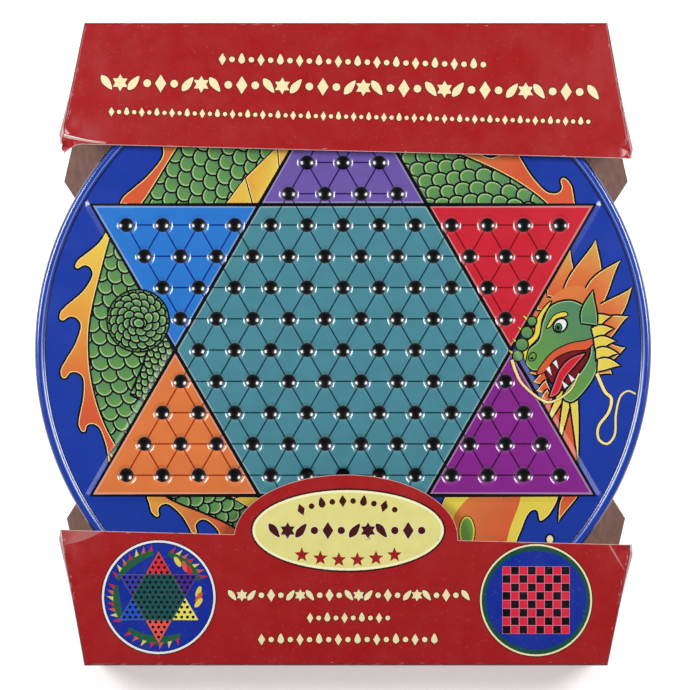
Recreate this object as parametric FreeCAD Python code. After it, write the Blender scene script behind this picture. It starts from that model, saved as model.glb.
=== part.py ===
"""Chinese checkers set: a round pressed-tin board that is also its own storage case, in a folding card wrap.

The lid carries the star board with its dimples, and the base carries a checkers board underneath. Bagged
balls, bagged checkers and a folded instruction sheet lie inside. The card wrap is a back panel with a hinged
cap at each end.

Frame: lying flat, star up. Z is up, X runs along the rows of holes, and +Y points to the top of the board.
The origin is on the tin's axis at the wrap's back face. Units are millimetres.
"""

import FreeCAD, Part
import os
from math import atan2, cos, hypot, radians, sin, sqrt

Vector = FreeCAD.Vector
UP = Vector(0, 0, 1)
ORIGIN = Vector(0, 0, 0)

# ---- Driving dimensions --------------------------------------------------------------------------
TIN_RADIUS = 159.0  # over the rolled hem of the lid
TIN_HEIGHT = 31.0
SHEET = 0.4  # tinplate with its lacquer
HOLE_PITCH = 18.5
DIMPLE_RADIUS = 4.8
DIMPLE_DEPTH = 2.0
BALL_RADIUS = 7.0
CARD = 0.8

# ---- Star board ----------------------------------------------------------------------------------
ROW_PITCH = HOLE_PITCH * sqrt(3) / 2
HEXAGON_ROWS = 4  # rings of holes round the centre hole
STAR_ROWS = 8  # rows from the centre to the outermost hole of a point
STAR_APOTHEM = 4.65 * ROW_PITCH  # from the centre to the long edges of the star
STAR_MARGIN = 0.3  # raised panel beyond the star's edges
STAR_STEP = 0.7  # how far the star panel stands above the field
STEP_RUN = 0.8

# ---- Tin shells ----------------------------------------------------------------------------------
HEM = 1.0  # how far a rolled hem or the stop bead stands out
LID_WALL = TIN_RADIUS - HEM  # outside of the lid's skirt
LID_SKIRT = 14.8
FIT_GAP = 0.4  # radial gap between the skirt and the base's wall
BASE_WALL = LID_WALL - SHEET - FIT_GAP
SHOULDER = 2.2  # outside radius of the rounded edge of either shell
RIM_LAND = 1.2  # flat top of the raised rim
RIM_SLOPE = 2.2
RIM_RISE = 1.1  # rim above the field
HEM_HEIGHT = 1.6
SEAT_GAP = 0.2  # under the lid's hem, over the stop bead
WALL_TOP_GAP = 2.0  # base's wall below the lid's rim, inside

CARD_TOP = CARD
TIN_TOP = CARD_TOP + TIN_HEIGHT
FIELD_Z = TIN_TOP - RIM_RISE
STAR_Z = FIELD_Z + STAR_STEP
SKIRT_END = TIN_TOP - LID_SKIRT
BASE_WALL_END = TIN_TOP - SHEET - WALL_TOP_GAP
BASE_FIELD_Z = CARD_TOP + RIM_RISE
BASE_FLOOR = BASE_FIELD_Z + SHEET
CHECKER_SQUARE = 24.5
CHECKER_FRAME = 3.0
CHECKER_PANEL = 8 * CHECKER_SQUARE + 2 * CHECKER_FRAME  # pressed square round the eight by eight board
CHECKER_STEP = 0.6
CONTENT_FLOOR = BASE_FLOOR - CHECKER_STEP

# ---- Card wrap -----------------------------------------------------------------------------------
FLAP_GAP = 5.5  # inside of a cap's front panel above the tin
FLAP_Z = TIN_TOP + FLAP_GAP
WRAP_TOP_Y = 167.0  # outside of the top spine
WRAP_BOTTOM_Y = -161.0
SPINE_HALF = 133.5  # half the width of a spine
FREE_HALF = 148.5  # half the width of a cap at its free edge
WRAP_SHIFT = 1.5  # the wrap sits a little to the right of the tin
TOP_FREE_Y = 101.5
BOTTOM_FREE_Y = -95.5
FREE_SKEW = 3.8  # the free edges are cut a little out of square
BADGE_TAB_HALF = 57.0
BADGE_TAB_RISE = 32.0
BACK_INSET = 4.0  # back panel inside the gussets
BACK_SHOULDER_Y = 88.0
BACK_WAIST_HALF = 106.0
BACK_WAIST_Y = 24.0
FOLD_GAP = 0.3

# ---- Contents ------------------------------------------------------------------------------------
BALLS_PER_COLOUR = 10
BALL_COLOURS = ("violet", "blue", "red", "orange", "magenta", "yellow")
BALL_PITCH = 2 * BALL_RADIUS + 0.4
BALL_ROW = BALL_PITCH * sqrt(3) / 2
BALL_BLOCK_Y = 49.0
NET = 0.5
NET_CLEAR = 0.45  # between the net and what lies inside or under it
BAG_ROOM = 3.4  # at the sides of the checkers, for the rounded edges of the net
BAG_CORNER = 5.0
NECK = 2.4  # radius of the gathered net inside the tie
GATHER_RADIUS = 6.0
GATHER_LENGTH = 10.0
GRIP_LENGTH = 3.0  # straight part of the neck, under the tie
MOUTH_RADIUS = 6.5
MOUTH_LENGTH = 12.0
JOIN = 0.2  # overlap of the pieces of a bag
TIE_THICK = 1.05
TIE_GAP = 0.05
CHECKER_RADIUS = 11.0
CHECKER_HEIGHT = 5.0
CHECKER_RIDGE = 0.7
CHECKER_STACK = 3
CHECKER_GROOVE = (4.0, 8.8)
STACK_GAP = 0.1
CHECKER_PITCH = 2 * CHECKER_RADIUS + 0.6
CHECKER_BLOCK_Y = -50.0
SHEET_SIZE = (138.0, 88.0, 1.0)
SHEET_TURN = 5.0


def polygon_wire(points, z):
    corners = [Vector(x, y, z) for x, y in points]
    return Part.makePolygon(corners + corners[:1])


def flat_face(outline, holes=()):
    """A flat face inside one wire and outside the others."""
    return Part.makeFace([outline, *holes], "Part::FaceMakerBullseye")


def slab(points, z_low, z_high):
    return flat_face(polygon_wire(points, z_low)).extrude(Vector(0, 0, z_high - z_low))


def circle_wire(radius, centre):
    return Part.Wire([Part.makeCircle(radius, centre, UP)])


def arc_of(start, middle, end):
    return Part.Arc(Vector(*start), Vector(*middle), Vector(*end)).toShape()


def quarter(centre, radius, start_angle, end_angle):
    """An arc in the XZ plane, from one angle to another in degrees, about (r, z)."""

    def at(angle):
        a = radians(angle)
        return (centre[0] + radius * cos(a), 0, centre[1] + radius * sin(a))

    return arc_of(at(start_angle), at((start_angle + end_angle) / 2), at(end_angle))


def profile(*pieces):
    """One open list of edges: points (r, z) joined by straight lines, and ready-made edges passed through."""
    edges, last = [], None
    for piece in pieces:
        if isinstance(piece, tuple):
            point = Vector(piece[0], 0, piece[1])
            if last is not None and last.distanceToPoint(point) > 1e-6:
                edges.append(Part.makeLine(last, point))
            last = point
        else:
            start, end = piece.firstVertex(True).Point, piece.lastVertex(True).Point
            if last is not None and last.distanceToPoint(start) > 1e-6:
                edges.append(Part.makeLine(last, start))
            edges.append(piece)
            last = end
    return edges


def revolved(edges):
    return [edge.revolve(ORIGIN, UP, 360) for edge in edges]


def closed_solid(faces):
    """Sews faces into one solid and makes sure that it is sound."""
    shape = Part.makeCompound(faces)
    shape.sewShape()
    shell = shape.Shells[0] if shape.Shells else Part.makeShell(shape.Faces)
    solid = Part.makeSolid(shell)
    if solid.Volume < 0:
        solid.reverse()
    if len(shape.Shells) != 1 or not solid.isValid() or not shell.isClosed():
        raise ValueError("a shell of the tin didn't close")
    return solid


# ---- Star geometry -------------------------------------------------------------------------------
TRIANGLE_NORMALS = (radians(90), radians(210), radians(330))


def hole_centres():
    """The 121 holes: all the lattice points that lie in either of the star's two big triangles."""
    found = []
    for row in range(-STAR_ROWS, STAR_ROWS + 1):
        for step in range(-2 * STAR_ROWS, 2 * STAR_ROWS + 1):
            if (row + step) % 2:
                continue
            x, y = step * HOLE_PITCH / 2, row * ROW_PITCH
            along = [(x * cos(a) + y * sin(a)) / ROW_PITCH for a in TRIANGLE_NORMALS]
            limit = HEXAGON_ROWS + 0.01
            if max(along) < limit or max(-value for value in along) < limit:
                found.append((x, y))
    return found


def star_points(grow):
    """The star's 12 corners, with its edges moved out by grow."""
    tip = 2 * (STAR_APOTHEM + grow)
    notch = tip / sqrt(3)
    corners = []
    for k in range(12):
        angle = radians(90 + 30 * k)
        radius = notch if k % 2 else tip
        corners.append((radius * cos(angle), radius * sin(angle)))
    return corners


def square_points(half):
    return [(-half, -half), (half, -half), (half, half), (-half, half)]


def ramp(inner, inner_z, outer, outer_z):
    """The sloping band between two polygons with matching corners."""
    faces = []
    for k in range(len(inner)):
        n = (k + 1) % len(inner)
        corners = [
            Vector(*inner[k], inner_z),
            Vector(*inner[n], inner_z),
            Vector(*outer[n], outer_z),
            Vector(*outer[k], outer_z),
        ]
        faces.append(Part.Face(Part.makePolygon(corners + corners[:1])))
    return faces


def pressed_side(panel, panel_z, edge, field_z, field_radius, dimples=()):
    """One side of a shell's flat part: the panel with its dimples, the ramp and the field round it."""
    rise = DIMPLE_RADIUS**2 / (2 * DIMPLE_DEPTH) - DIMPLE_DEPTH / 2  # of the dimple's centre above the panel
    ball = rise + DIMPLE_DEPTH
    half_angle = atan2(DIMPLE_RADIUS, rise) / 2
    wires, faces = [], []
    for x, y in dimples:
        wires.append(circle_wire(DIMPLE_RADIUS, Vector(x, y, panel_z)))
        arc = arc_of(
            (x + DIMPLE_RADIUS, y, panel_z),
            (x + ball * sin(half_angle), y, panel_z + rise - ball * cos(half_angle)),
            (x, y, panel_z - DIMPLE_DEPTH),
        )
        faces.append(arc.revolve(Vector(x, y, 0), UP, 360))
    faces.append(flat_face(polygon_wire(panel, panel_z), wires))
    faces += ramp(panel, panel_z, edge, field_z)
    rim = circle_wire(field_radius, Vector(0, 0, field_z))
    faces.append(flat_face(rim, [polygon_wire(edge, field_z)]))
    return faces


def make_tin_lid():
    rim_in = LID_WALL - SHOULDER - RIM_LAND
    slope_in = rim_in - RIM_SLOPE
    under = TIN_TOP - SHEET
    inside = LID_WALL - SHEET
    hem_mid = SKIRT_END + HEM_HEIGHT / 2
    edges = profile(
        (slope_in, FIELD_Z),
        (rim_in, TIN_TOP),
        quarter((LID_WALL - SHOULDER, TIN_TOP - SHOULDER), SHOULDER, 90, 0),
        arc_of(
            (LID_WALL, 0, SKIRT_END + HEM_HEIGHT), (TIN_RADIUS, 0, hem_mid), (LID_WALL, 0, SKIRT_END)
        ),
        (inside, SKIRT_END),
        quarter((LID_WALL - SHOULDER, TIN_TOP - SHOULDER), SHOULDER - SHEET, 0, 90),
        (rim_in, under),
        (slope_in, FIELD_Z - SHEET),
    )
    faces = revolved(edges)
    star, foot = star_points(STAR_MARGIN), star_points(STAR_MARGIN + STEP_RUN)
    for drop in (0.0, SHEET):
        faces += pressed_side(star, STAR_Z - drop, foot, FIELD_Z - drop, slope_in, hole_centres())
    return closed_solid(faces)


def make_tin_base():
    rim_in = BASE_WALL - SHOULDER - RIM_LAND
    slope_in = rim_in - RIM_SLOPE
    inside = BASE_WALL - SHEET
    floor = CARD_TOP + SHEET
    corner = (BASE_WALL - SHOULDER, CARD_TOP + SHOULDER)
    bead_top = SKIRT_END - SEAT_GAP
    bead_low = bead_top - 2 * HEM
    bead_out = BASE_WALL + FIT_GAP + SHEET + HEM / 2
    edges = profile(
        (slope_in, BASE_FIELD_Z),
        (rim_in, CARD_TOP),
        quarter(corner, SHOULDER, 270, 360),
        arc_of((BASE_WALL, 0, bead_low), (bead_out, 0, (bead_low + bead_top) / 2), (BASE_WALL, 0, bead_top)),
        (BASE_WALL, BASE_WALL_END - HEM / 2),
        arc_of(
            (BASE_WALL, 0, BASE_WALL_END - HEM / 2),
            (BASE_WALL - HEM, 0, BASE_WALL_END),
            (BASE_WALL - 2 * HEM, 0, BASE_WALL_END - HEM / 2),
        ),
        (BASE_WALL - 2 * HEM, BASE_WALL_END - HEM_HEIGHT),
        (inside, BASE_WALL_END - HEM_HEIGHT),
        quarter(corner, SHOULDER - SHEET, 360, 270),
        (rim_in, floor),
        (slope_in, BASE_FLOOR),
    )
    faces = revolved(edges)
    panel = square_points(CHECKER_PANEL / 2)
    foot = square_points(CHECKER_PANEL / 2 + STEP_RUN)
    for lift in (0.0, SHEET):
        faces += pressed_side(panel, BASE_FIELD_Z - CHECKER_STEP + lift, foot, BASE_FIELD_Z + lift, slope_in)
    return closed_solid(faces)


# ---- Card wrap -----------------------------------------------------------------------------------
def cap_corners(spine_y, free_y):
    """A cap's front corners: spine left and right, then free right and left. The free edge is out of square."""
    return [
        (-SPINE_HALF, spine_y),
        (SPINE_HALF, spine_y),
        (FREE_HALF, free_y - FREE_SKEW),
        (-FREE_HALF, free_y + FREE_SKEW),
    ]


def toward(point, target, distance):
    dx, dy = target[0] - point[0], target[1] - point[1]
    length = hypot(dx, dy)
    return (point[0] + dx / length * distance, point[1] + dy / length * distance)


def make_cap(name, spine_y, free_y, with_tab):
    """The four panels of one cap, each a flat piece that meets the next along a fold."""
    inward = -1 if spine_y > 0 else 1
    spine_left, spine_right, free_right, free_left = cap_corners(spine_y, free_y)
    front = slab([spine_left, spine_right, free_right, free_left], FLAP_Z, FLAP_Z + CARD)
    if with_tab:
        oval = Part.Ellipse(Vector(0, free_y, FLAP_Z), BADGE_TAB_HALF, BADGE_TAB_RISE)
        tab = Part.Face(Part.Wire([oval.toShape()])).extrude(Vector(0, 0, CARD))
        front = front.fuse(tab).removeSplitter()
    inner_y = spine_y + inward * CARD
    spine = slab(
        [spine_left, spine_right, (SPINE_HALF, inner_y), (-SPINE_HALF, inner_y)], 0, FLAP_Z
    )
    panels = {f"{name}_front": front, f"{name}_spine": spine}
    for side, start, end in (("left", spine_left, free_left), ("right", spine_right, free_right)):
        turn = 1 if side == "left" else -1
        start_in = (start[0] + turn * CARD, inner_y)
        start_out = toward(start, end, CARD)
        end_in = (end[0] + turn * CARD, end[1])
        panels[f"{name}_{side}_gusset"] = slab(
            [(start_out[0], inner_y), end, end_in, start_in], CARD + FOLD_GAP, FLAP_Z
        )
    return panels


def make_back_panel():
    """The waisted sheet that joins the caps. Its corners show past the tin."""
    lean = (FREE_HALF - SPINE_HALF) / (WRAP_TOP_Y - TOP_FREE_Y)
    end_half = SPINE_HALF - BACK_INSET
    top_y, bottom_y = WRAP_TOP_Y - CARD - FOLD_GAP, WRAP_BOTTOM_Y + CARD + FOLD_GAP
    top_shoulder = end_half + lean * (top_y - BACK_SHOULDER_Y)
    bottom_shoulder = end_half + lean * (-BACK_SHOULDER_Y - bottom_y)
    right = [
        (end_half, top_y),
        (top_shoulder, BACK_SHOULDER_Y),
        (BACK_WAIST_HALF, BACK_WAIST_Y),
        (BACK_WAIST_HALF, -BACK_WAIST_Y),
        (bottom_shoulder, -BACK_SHOULDER_Y),
        (end_half, bottom_y),
    ]
    left = [(-x, y) for x, y in reversed(right)]
    return slab(right + left, 0, CARD)


# ---- Contents ------------------------------------------------------------------------------------
def make_balls(row):
    """One colour's ten balls, side by side in the bag's single layer."""
    z = CONTENT_FLOOR + NET + 2 * NET_CLEAR + BALL_RADIUS
    y = BALL_BLOCK_Y + (row - (len(BALL_COLOURS) - 1) / 2) * BALL_ROW
    stagger = BALL_PITCH / 4 * (1 if row % 2 else -1)
    first = stagger - (BALLS_PER_COLOUR - 1) / 2 * BALL_PITCH
    balls = [
        Part.makeSphere(BALL_RADIUS, Vector(first + k * BALL_PITCH, y, z))
        for k in range(BALLS_PER_COLOUR)
    ]
    return Part.makeCompound(balls)


def make_checker(centre):
    """A draughts piece with a ring groove in both faces."""
    body = Part.makeCylinder(CHECKER_RADIUS, CHECKER_HEIGHT, centre)
    core, rim = CHECKER_GROOVE
    for z in (centre.z, centre.z + CHECKER_HEIGHT - CHECKER_RIDGE):
        low = Vector(centre.x, centre.y, z)
        groove = Part.makeCylinder(rim, CHECKER_RIDGE, low)
        body = body.cut(groove.cut(Part.makeCylinder(core, CHECKER_RIDGE, low)))
    return body


def make_checkers(row):
    """Twelve checkers as four stacks of three."""
    floor = CONTENT_FLOOR + SHEET_SIZE[2] + NET + 3 * NET_CLEAR
    y = CHECKER_BLOCK_Y + (row - 0.5) * CHECKER_PITCH
    pieces = []
    for column in range(4):
        x = (column - 1.5) * CHECKER_PITCH
        for level in range(CHECKER_STACK):
            pieces.append(make_checker(Vector(x, y, floor + level * (CHECKER_HEIGHT + STACK_GAP))))
    return Part.makeCompound(pieces)


def pillow(half_x, half_y, centre_y, floor, height, inset):
    """A box with rounded edges, drawn in by inset on every side."""
    size = (2 * (half_x - inset), 2 * (half_y - inset), height - 2 * inset)
    box = Part.makeBox(*size, Vector(inset - half_x, centre_y - half_y + inset, floor + inset))
    return box.makeFillet(BAG_CORNER - inset, box.Edges)


def make_bag(half_x, half_y, centre_y, floor, height):
    """A net bag, a thin hollow pillow with a gathered neck and a flared mouth, and the tie round its neck."""
    size = (half_x, half_y, centre_y, floor, height)
    along = Vector(1, 0, 0)

    def neck_point(reach):
        return Vector(half_x + reach, centre_y, floor + height / 2)

    grip_start = GATHER_LENGTH - JOIN
    gather = Part.makeCone(GATHER_RADIUS, NECK, GATHER_LENGTH, neck_point(-JOIN), along)
    grip = Part.makeCylinder(NECK, GRIP_LENGTH, neck_point(grip_start), along)
    mouth = Part.makeCone(NECK, MOUTH_RADIUS, MOUTH_LENGTH, neck_point(grip_start + GRIP_LENGTH), along)
    bag = pillow(*size, 0).fuse([gather, grip, mouth]).cut(pillow(*size, NET))
    tie_at = neck_point(grip_start + GRIP_LENGTH / 2)
    tie = Part.makeTorus(NECK + TIE_THICK + TIE_GAP, TIE_THICK, tie_at, along)
    return bag, tie


def make_contents():
    nodes = {f"balls_{colour}": make_balls(k) for k, colour in enumerate(BALL_COLOURS)}
    nodes["checkers_red"] = make_checkers(0)
    nodes["checkers_black"] = make_checkers(1)
    nodes["ball_bag"], nodes["ball_bag_tie"] = make_bag(
        (BALLS_PER_COLOUR - 0.5) / 2 * BALL_PITCH + BALL_RADIUS + NET + NET_CLEAR,
        (len(BALL_COLOURS) - 1) / 2 * BALL_ROW + BALL_RADIUS + NET + NET_CLEAR,
        BALL_BLOCK_Y,
        CONTENT_FLOOR + NET_CLEAR,
        2 * (BALL_RADIUS + NET + NET_CLEAR),
    )
    stack = CHECKER_STACK * (CHECKER_HEIGHT + STACK_GAP)
    nodes["checker_bag"], nodes["checker_bag_tie"] = make_bag(
        2 * CHECKER_PITCH + BAG_ROOM,
        CHECKER_PITCH + BAG_ROOM,
        CHECKER_BLOCK_Y,
        CONTENT_FLOOR + SHEET_SIZE[2] + 2 * NET_CLEAR,
        stack + 2 * (NET + NET_CLEAR),
    )
    paper = Part.makeBox(*SHEET_SIZE, Vector(-SHEET_SIZE[0] / 2, -SHEET_SIZE[1] / 2, CONTENT_FLOOR))
    paper.rotate(ORIGIN, UP, SHEET_TURN)
    paper.translate(Vector(0, CHECKER_BLOCK_Y, 0))
    nodes["instruction_sheet"] = paper
    return nodes


def main():
    os.makedirs("parts", exist_ok=True)
    nodes = {"card_back_panel": make_back_panel()}
    nodes.update(make_cap("top_cap", WRAP_TOP_Y, TOP_FREE_Y, with_tab=False))
    nodes.update(make_cap("bottom_cap", WRAP_BOTTOM_Y, BOTTOM_FREE_Y, with_tab=True))
    for panel in nodes.values():
        panel.translate(Vector(WRAP_SHIFT, 0, 0))
    nodes["tin_lid"] = make_tin_lid()
    nodes["tin_base"] = make_tin_base()
    nodes.update(make_contents())
    for name, shape in nodes.items():
        if not shape.isValid() or any(solid.Volume <= 0 for solid in shape.Solids):
            raise ValueError(f"{name} isn't sound")
        shape.exportStep(f"parts/{name}.step")
        print(f"{name}: {len(shape.Solids)} solids, {shape.Volume / 1000:.2f} cm3")


main()
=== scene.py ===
import random
from math import atan2, ceil, cos, hypot, pi, radians, sin, sqrt, tau

import bpy
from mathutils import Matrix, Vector, noise
from mathutils.geometry import delaunay_2d_cdt


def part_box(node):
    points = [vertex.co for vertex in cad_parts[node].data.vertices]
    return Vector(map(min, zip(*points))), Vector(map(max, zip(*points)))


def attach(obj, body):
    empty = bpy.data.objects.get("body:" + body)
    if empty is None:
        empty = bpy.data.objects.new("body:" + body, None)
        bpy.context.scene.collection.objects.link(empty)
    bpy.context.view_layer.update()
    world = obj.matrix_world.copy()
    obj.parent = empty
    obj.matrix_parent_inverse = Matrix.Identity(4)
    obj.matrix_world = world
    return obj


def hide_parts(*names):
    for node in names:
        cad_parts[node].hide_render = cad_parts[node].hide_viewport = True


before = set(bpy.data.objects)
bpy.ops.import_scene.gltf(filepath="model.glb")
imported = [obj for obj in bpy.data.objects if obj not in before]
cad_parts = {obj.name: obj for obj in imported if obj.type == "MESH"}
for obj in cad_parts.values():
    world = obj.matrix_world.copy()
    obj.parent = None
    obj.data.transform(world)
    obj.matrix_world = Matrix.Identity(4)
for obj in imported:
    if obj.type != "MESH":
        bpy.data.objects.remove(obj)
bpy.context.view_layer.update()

MM = 0.001


def node_box(node):
    """A node's lowest and highest corners in millimetres."""
    low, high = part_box(node)
    return Vector(low) / MM, Vector(high) / MM


# ---- Dimensions from the frame -----------------------------------------------------------------
LID_LOW, LID_HIGH = node_box("tin_lid")
BASE_LOW, BASE_HIGH = node_box("tin_base")
TOP_FRONT_LOW, TOP_FRONT_HIGH = node_box("top_cap_front")
BOTTOM_FRONT_LOW, BOTTOM_FRONT_HIGH = node_box("bottom_cap_front")
TOP_SPINE_LOW, TOP_SPINE_HIGH = node_box("top_cap_spine")
BOTTOM_SPINE_LOW, BOTTOM_SPINE_HIGH = node_box("bottom_cap_spine")

WRAP_X = (TOP_SPINE_LOW.x + TOP_SPINE_HIGH.x) / 2  # the wrap sits a little to the right of the tin
SPINE_HALF = TOP_SPINE_HIGH.x - WRAP_X
FREE_HALF = TOP_FRONT_HIGH.x - WRAP_X
TIN_RADIUS = LID_HIGH.x
HEM = 1.0  # radius of a rolled hem or the base's bead
SHEET = 0.4  # tinplate
LID_WALL = TIN_RADIUS - HEM
BASE_WALL = LID_WALL - 2 * SHEET
SHOULDER = 2.2  # radius of the rounded edge of either shell
RIM_LAND = 1.2
RIM_SLOPE = 2.2
RIM_RISE = 1.1
TURNS = 240  # steps round a shell
CREASE = 0.6  # a profile's corner is sharp where the cosine of its turn is below this

# ---- The star board ----------------------------------------------------------------------------
HOLE_PITCH = 18.5
ROW_PITCH = HOLE_PITCH * sqrt(3) / 2
STAR_APOTHEM = 4.65 * ROW_PITCH
STAR_TIP = 2 * STAR_APOTHEM
STAR_NOTCH = STAR_TIP / sqrt(3)
STAR_STEP = 0.52  # the star panel above the field
RAMP = (0.4, 3.6)  # where the step down from the star panel starts and ends, out from the star's edges
DIMPLE_DEPTH = 2.0
BALL_SEAT = 6.76  # radius of a dimple's bowl
BOWL_EDGE = 3.95  # where the bowl meets its rounded lip
LIP_EDGE = 5.9
LIP_RINGS = (LIP_EDGE, 5.5, 5.1, 4.7, 4.3, BOWL_EDGE)
DOT_RADIUS = 3.62  # the black bottom of a dimple
DOT_RINGS = (0.0, 1.2, 2.3, 3.1, DOT_RADIUS)
DIMPLE_STEPS = 32
PLAIN_RINGS = (0.0, 1.8, 3.2, BOWL_EDGE, 4.8, LIP_EDGE)  # a dimple from below
PLAIN_STEPS = 14
TRIANGLE_NORMALS = (radians(90), radians(210), radians(330))

# ---- The checkers board -------------------------------------------------------------------------
CHECKER_SQUARE = 24.5
CHECKER_HALF = 4 * CHECKER_SQUARE + 3.0
CHECKER_STEP = 0.6
CHECKER_RUN = 1.6  # width of the step round the pressed square
CHECKER_EDGES = [CHECKER_HALF + run for run in (0, 0.5, 1.1, CHECKER_RUN)]


def srgb(red, green, blue):
    """A colour given in screen values of 0 to 255, as Blender's linear values."""

    def linear(value):
        value /= 255
        return value / 12.92 if value <= 0.04045 else ((value + 0.055) / 1.055) ** 2.4

    return (linear(red), linear(green), linear(blue))


BLACK = srgb(6, 6, 10)
FIELD_BLUE = srgb(25, 58, 162)
# Painted shade in the groove at the foot of the rim's slope.
GROOVE_SHADE_BLUE = srgb(9, 24, 96)
# Painted shade on the lid's outer shoulder and hem.
EDGE_SHADE_BLUE = srgb(5, 8, 36)
RIM_BLUE = srgb(30, 62, 160)
# A painted highlight along the top of the rim's slope.
RIM_HIGHLIGHT_BLUE = srgb(112, 144, 222)
TEAL = srgb(76, 138, 152)
GREEN_TIP = srgb(106, 156, 72)
GREEN_BASE = srgb(78, 130, 98)
SCALE_RIM = srgb(162, 194, 142)
YELLOW = srgb(232, 210, 80)
AMBER = srgb(232, 160, 66)
ORANGE = srgb(216, 92, 56)
MANE = (ORANGE, srgb(218, 126, 66), srgb(214, 172, 88))
CREAM = srgb(246, 232, 182)
CREAM_RIM = srgb(250, 226, 150)
RED_INK = srgb(205, 34, 50)
WHITE = srgb(240, 240, 236)
CARD_RED = srgb(166, 25, 28)
BADGE_CREAM = srgb(232, 224, 140)
SHADOW_BROWN = srgb(70, 16, 14)
BARE_TIN = srgb(176, 176, 172)
RAW_CARD = srgb(226, 206, 198)
BROWN_BOARD = srgb(146, 110, 96)
ROUNDEL_BLUE = srgb(16, 44, 154)
PALE_GREY, MIDDLE_GREY, DARK_GREY = srgb(190, 190, 190), srgb(150, 150, 150), srgb(120, 120, 120)
# Star points anticlockwise from the top one.
POINT_COLOURS = (srgb(110, 88, 168), srgb(42, 120, 206), srgb(226, 124, 66), srgb(236, 200, 60),
                 srgb(136, 38, 140), srgb(204, 36, 54))


# ---- Plane curves ------------------------------------------------------------------------------
def turned(points, angle, centre=(0, 0), scale=1.0):
    """Points turned by an angle in radians, scaled, and moved so that their origin is at centre."""
    c, s = cos(angle) * scale, sin(angle) * scale
    return [(centre[0] + x * c - y * s, centre[1] + x * s + y * c) for x, y in points]


def clamp(t):
    return min(1.0, max(0.0, t))


def smooth(t):
    """Rises from 0 to 1 with level ends."""
    t = clamp(t)
    return t * t * (3 - 2 * t)


def between(a, b, t):
    """The point at a fraction of the way from a to b."""
    return (a[0] + (b[0] - a[0]) * t, a[1] + (b[1] - a[1]) * t)


def oval(x, y, half_x, half_y=None, steps=24, angle=0.0):
    """An oval, or a circle if it has one half width, about (x, y)."""
    half_y = half_x if half_y is None else half_y
    ring = [(half_x * cos(tau * k / steps), half_y * sin(tau * k / steps)) for k in range(steps)]
    return turned(ring, angle, (x, y))


def through(points, closed=True, steps=7):
    """A smooth curve through a few chosen points."""
    count = len(points)
    spans = count if closed else count - 1
    curve = []
    for k in range(spans):
        if closed:
            a, b, c, d = (points[(k + n) % count] for n in (-1, 0, 1, 2))
        else:
            b, c = points[k], points[k + 1]
            a = points[k - 1] if k else (2 * b[0] - c[0], 2 * b[1] - c[1])
            d = points[k + 2] if k + 2 < count else (2 * c[0] - b[0], 2 * c[1] - b[1])
        for n in range(steps):
            t = n / steps
            curve.append(tuple(
                0.5 * (2 * b[i] + (c[i] - a[i]) * t + (2 * a[i] - 5 * b[i] + 4 * c[i] - d[i]) * t * t
                       + (3 * b[i] - a[i] - 3 * c[i] + d[i]) * t ** 3)
                for i in (0, 1)
            ))
    if not closed:
        curve.append(tuple(points[-1]))
    return curve


def line_through(points, steps=7):
    return through(points, False, steps)


def side_normals(path, closed=False):
    """The unit normal to the left of the path at each of its points."""
    normals = []
    for k in range(len(path)):
        before = path[k - 1] if closed or k else path[0]
        after = path[(k + 1) % len(path)] if closed or k + 1 < len(path) else path[-1]
        dx, dy = after[0] - before[0], after[1] - before[1]
        length = hypot(dx, dy) or 1.0
        normals.append((-dy / length, dx / length))
    return normals


def offset(path, distance, closed=False):
    """The path moved to its left by a distance, or by a function of the fraction along it."""
    last = max(1, len(path) - 1)
    moved = []
    for k, (point, normal) in enumerate(zip(path, side_normals(path, closed))):
        shift = distance(k / last) if callable(distance) else distance
        moved.append((point[0] + normal[0] * shift, point[1] + normal[1] * shift))
    return moved


def meet(a, b, c, d):
    """Where the line through a and b crosses the line through c and d."""
    ux, uy, vx, vy = b[0] - a[0], b[1] - a[1], d[0] - c[0], d[1] - c[1]
    t = ((c[0] - a[0]) * vy - (c[1] - a[1]) * vx) / (ux * vy - uy * vx)
    return (a[0] + ux * t, a[1] + uy * t)


def inset(polygon, distances):
    """An anticlockwise polygon with its edges moved inwards. Edge k runs from corner k to the next one."""
    count = len(polygon)
    if not hasattr(distances, "__len__"):
        distances = [distances] * count
    edges = []
    for k, distance in enumerate(distances):
        a, b = polygon[k], polygon[(k + 1) % count]
        length = hypot(b[0] - a[0], b[1] - a[1])
        dx, dy = -(b[1] - a[1]) / length * distance, (b[0] - a[0]) / length * distance
        edges.append(((a[0] + dx, a[1] + dy), (b[0] + dx, b[1] + dy)))
    return [meet(*edges[k - 1], *edges[k]) for k in range(count)]


def divided(a, b, step):
    """Evenly spaced points from a up to, but without, b."""
    count = max(1, round(hypot(b[0] - a[0], b[1] - a[1]) / step))
    return [between(a, b, k / count) for k in range(count)]


def divided_outline(corners, step):
    """A polygon with more points along its edges, so that it can bend."""
    outline = []
    for k, corner in enumerate(corners):
        outline += divided(corner, corners[(k + 1) % len(corners)], step)
    return outline


def box_round(outline):
    """The lowest and the highest corner of the upright box round an outline."""
    xs, ys = zip(*outline)
    return (min(xs), min(ys)), (max(xs), max(ys))


def area(outline):
    """The area inside an outline, negative if it runs clockwise."""
    pairs = zip(outline, outline[1:] + outline[:1])
    return sum(a[0] * b[1] - b[0] * a[1] for a, b in pairs) / 2


def path_lengths(path):
    """The distance along a path at each of its points."""
    total, marks = 0.0, [0.0]
    for a, b in zip(path, path[1:]):
        total += hypot(b[0] - a[0], b[1] - a[1])
        marks.append(total)
    return marks


def at_length(path, marks, length):
    """The point and direction at a distance along a path."""
    for k in range(1, len(path)):
        if marks[k] >= length or k == len(path) - 1:
            a, b = path[k - 1], path[k]
            t = (length - marks[k - 1]) / ((marks[k] - marks[k - 1]) or 1.0)
            return between(a, b, t), atan2(b[1] - a[1], b[0] - a[0])


def mix(a, b, t):
    """A colour at a fraction of the way from a to b."""
    return tuple(u + (v - u) * clamp(t) for u, v in zip(a, b))


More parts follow.
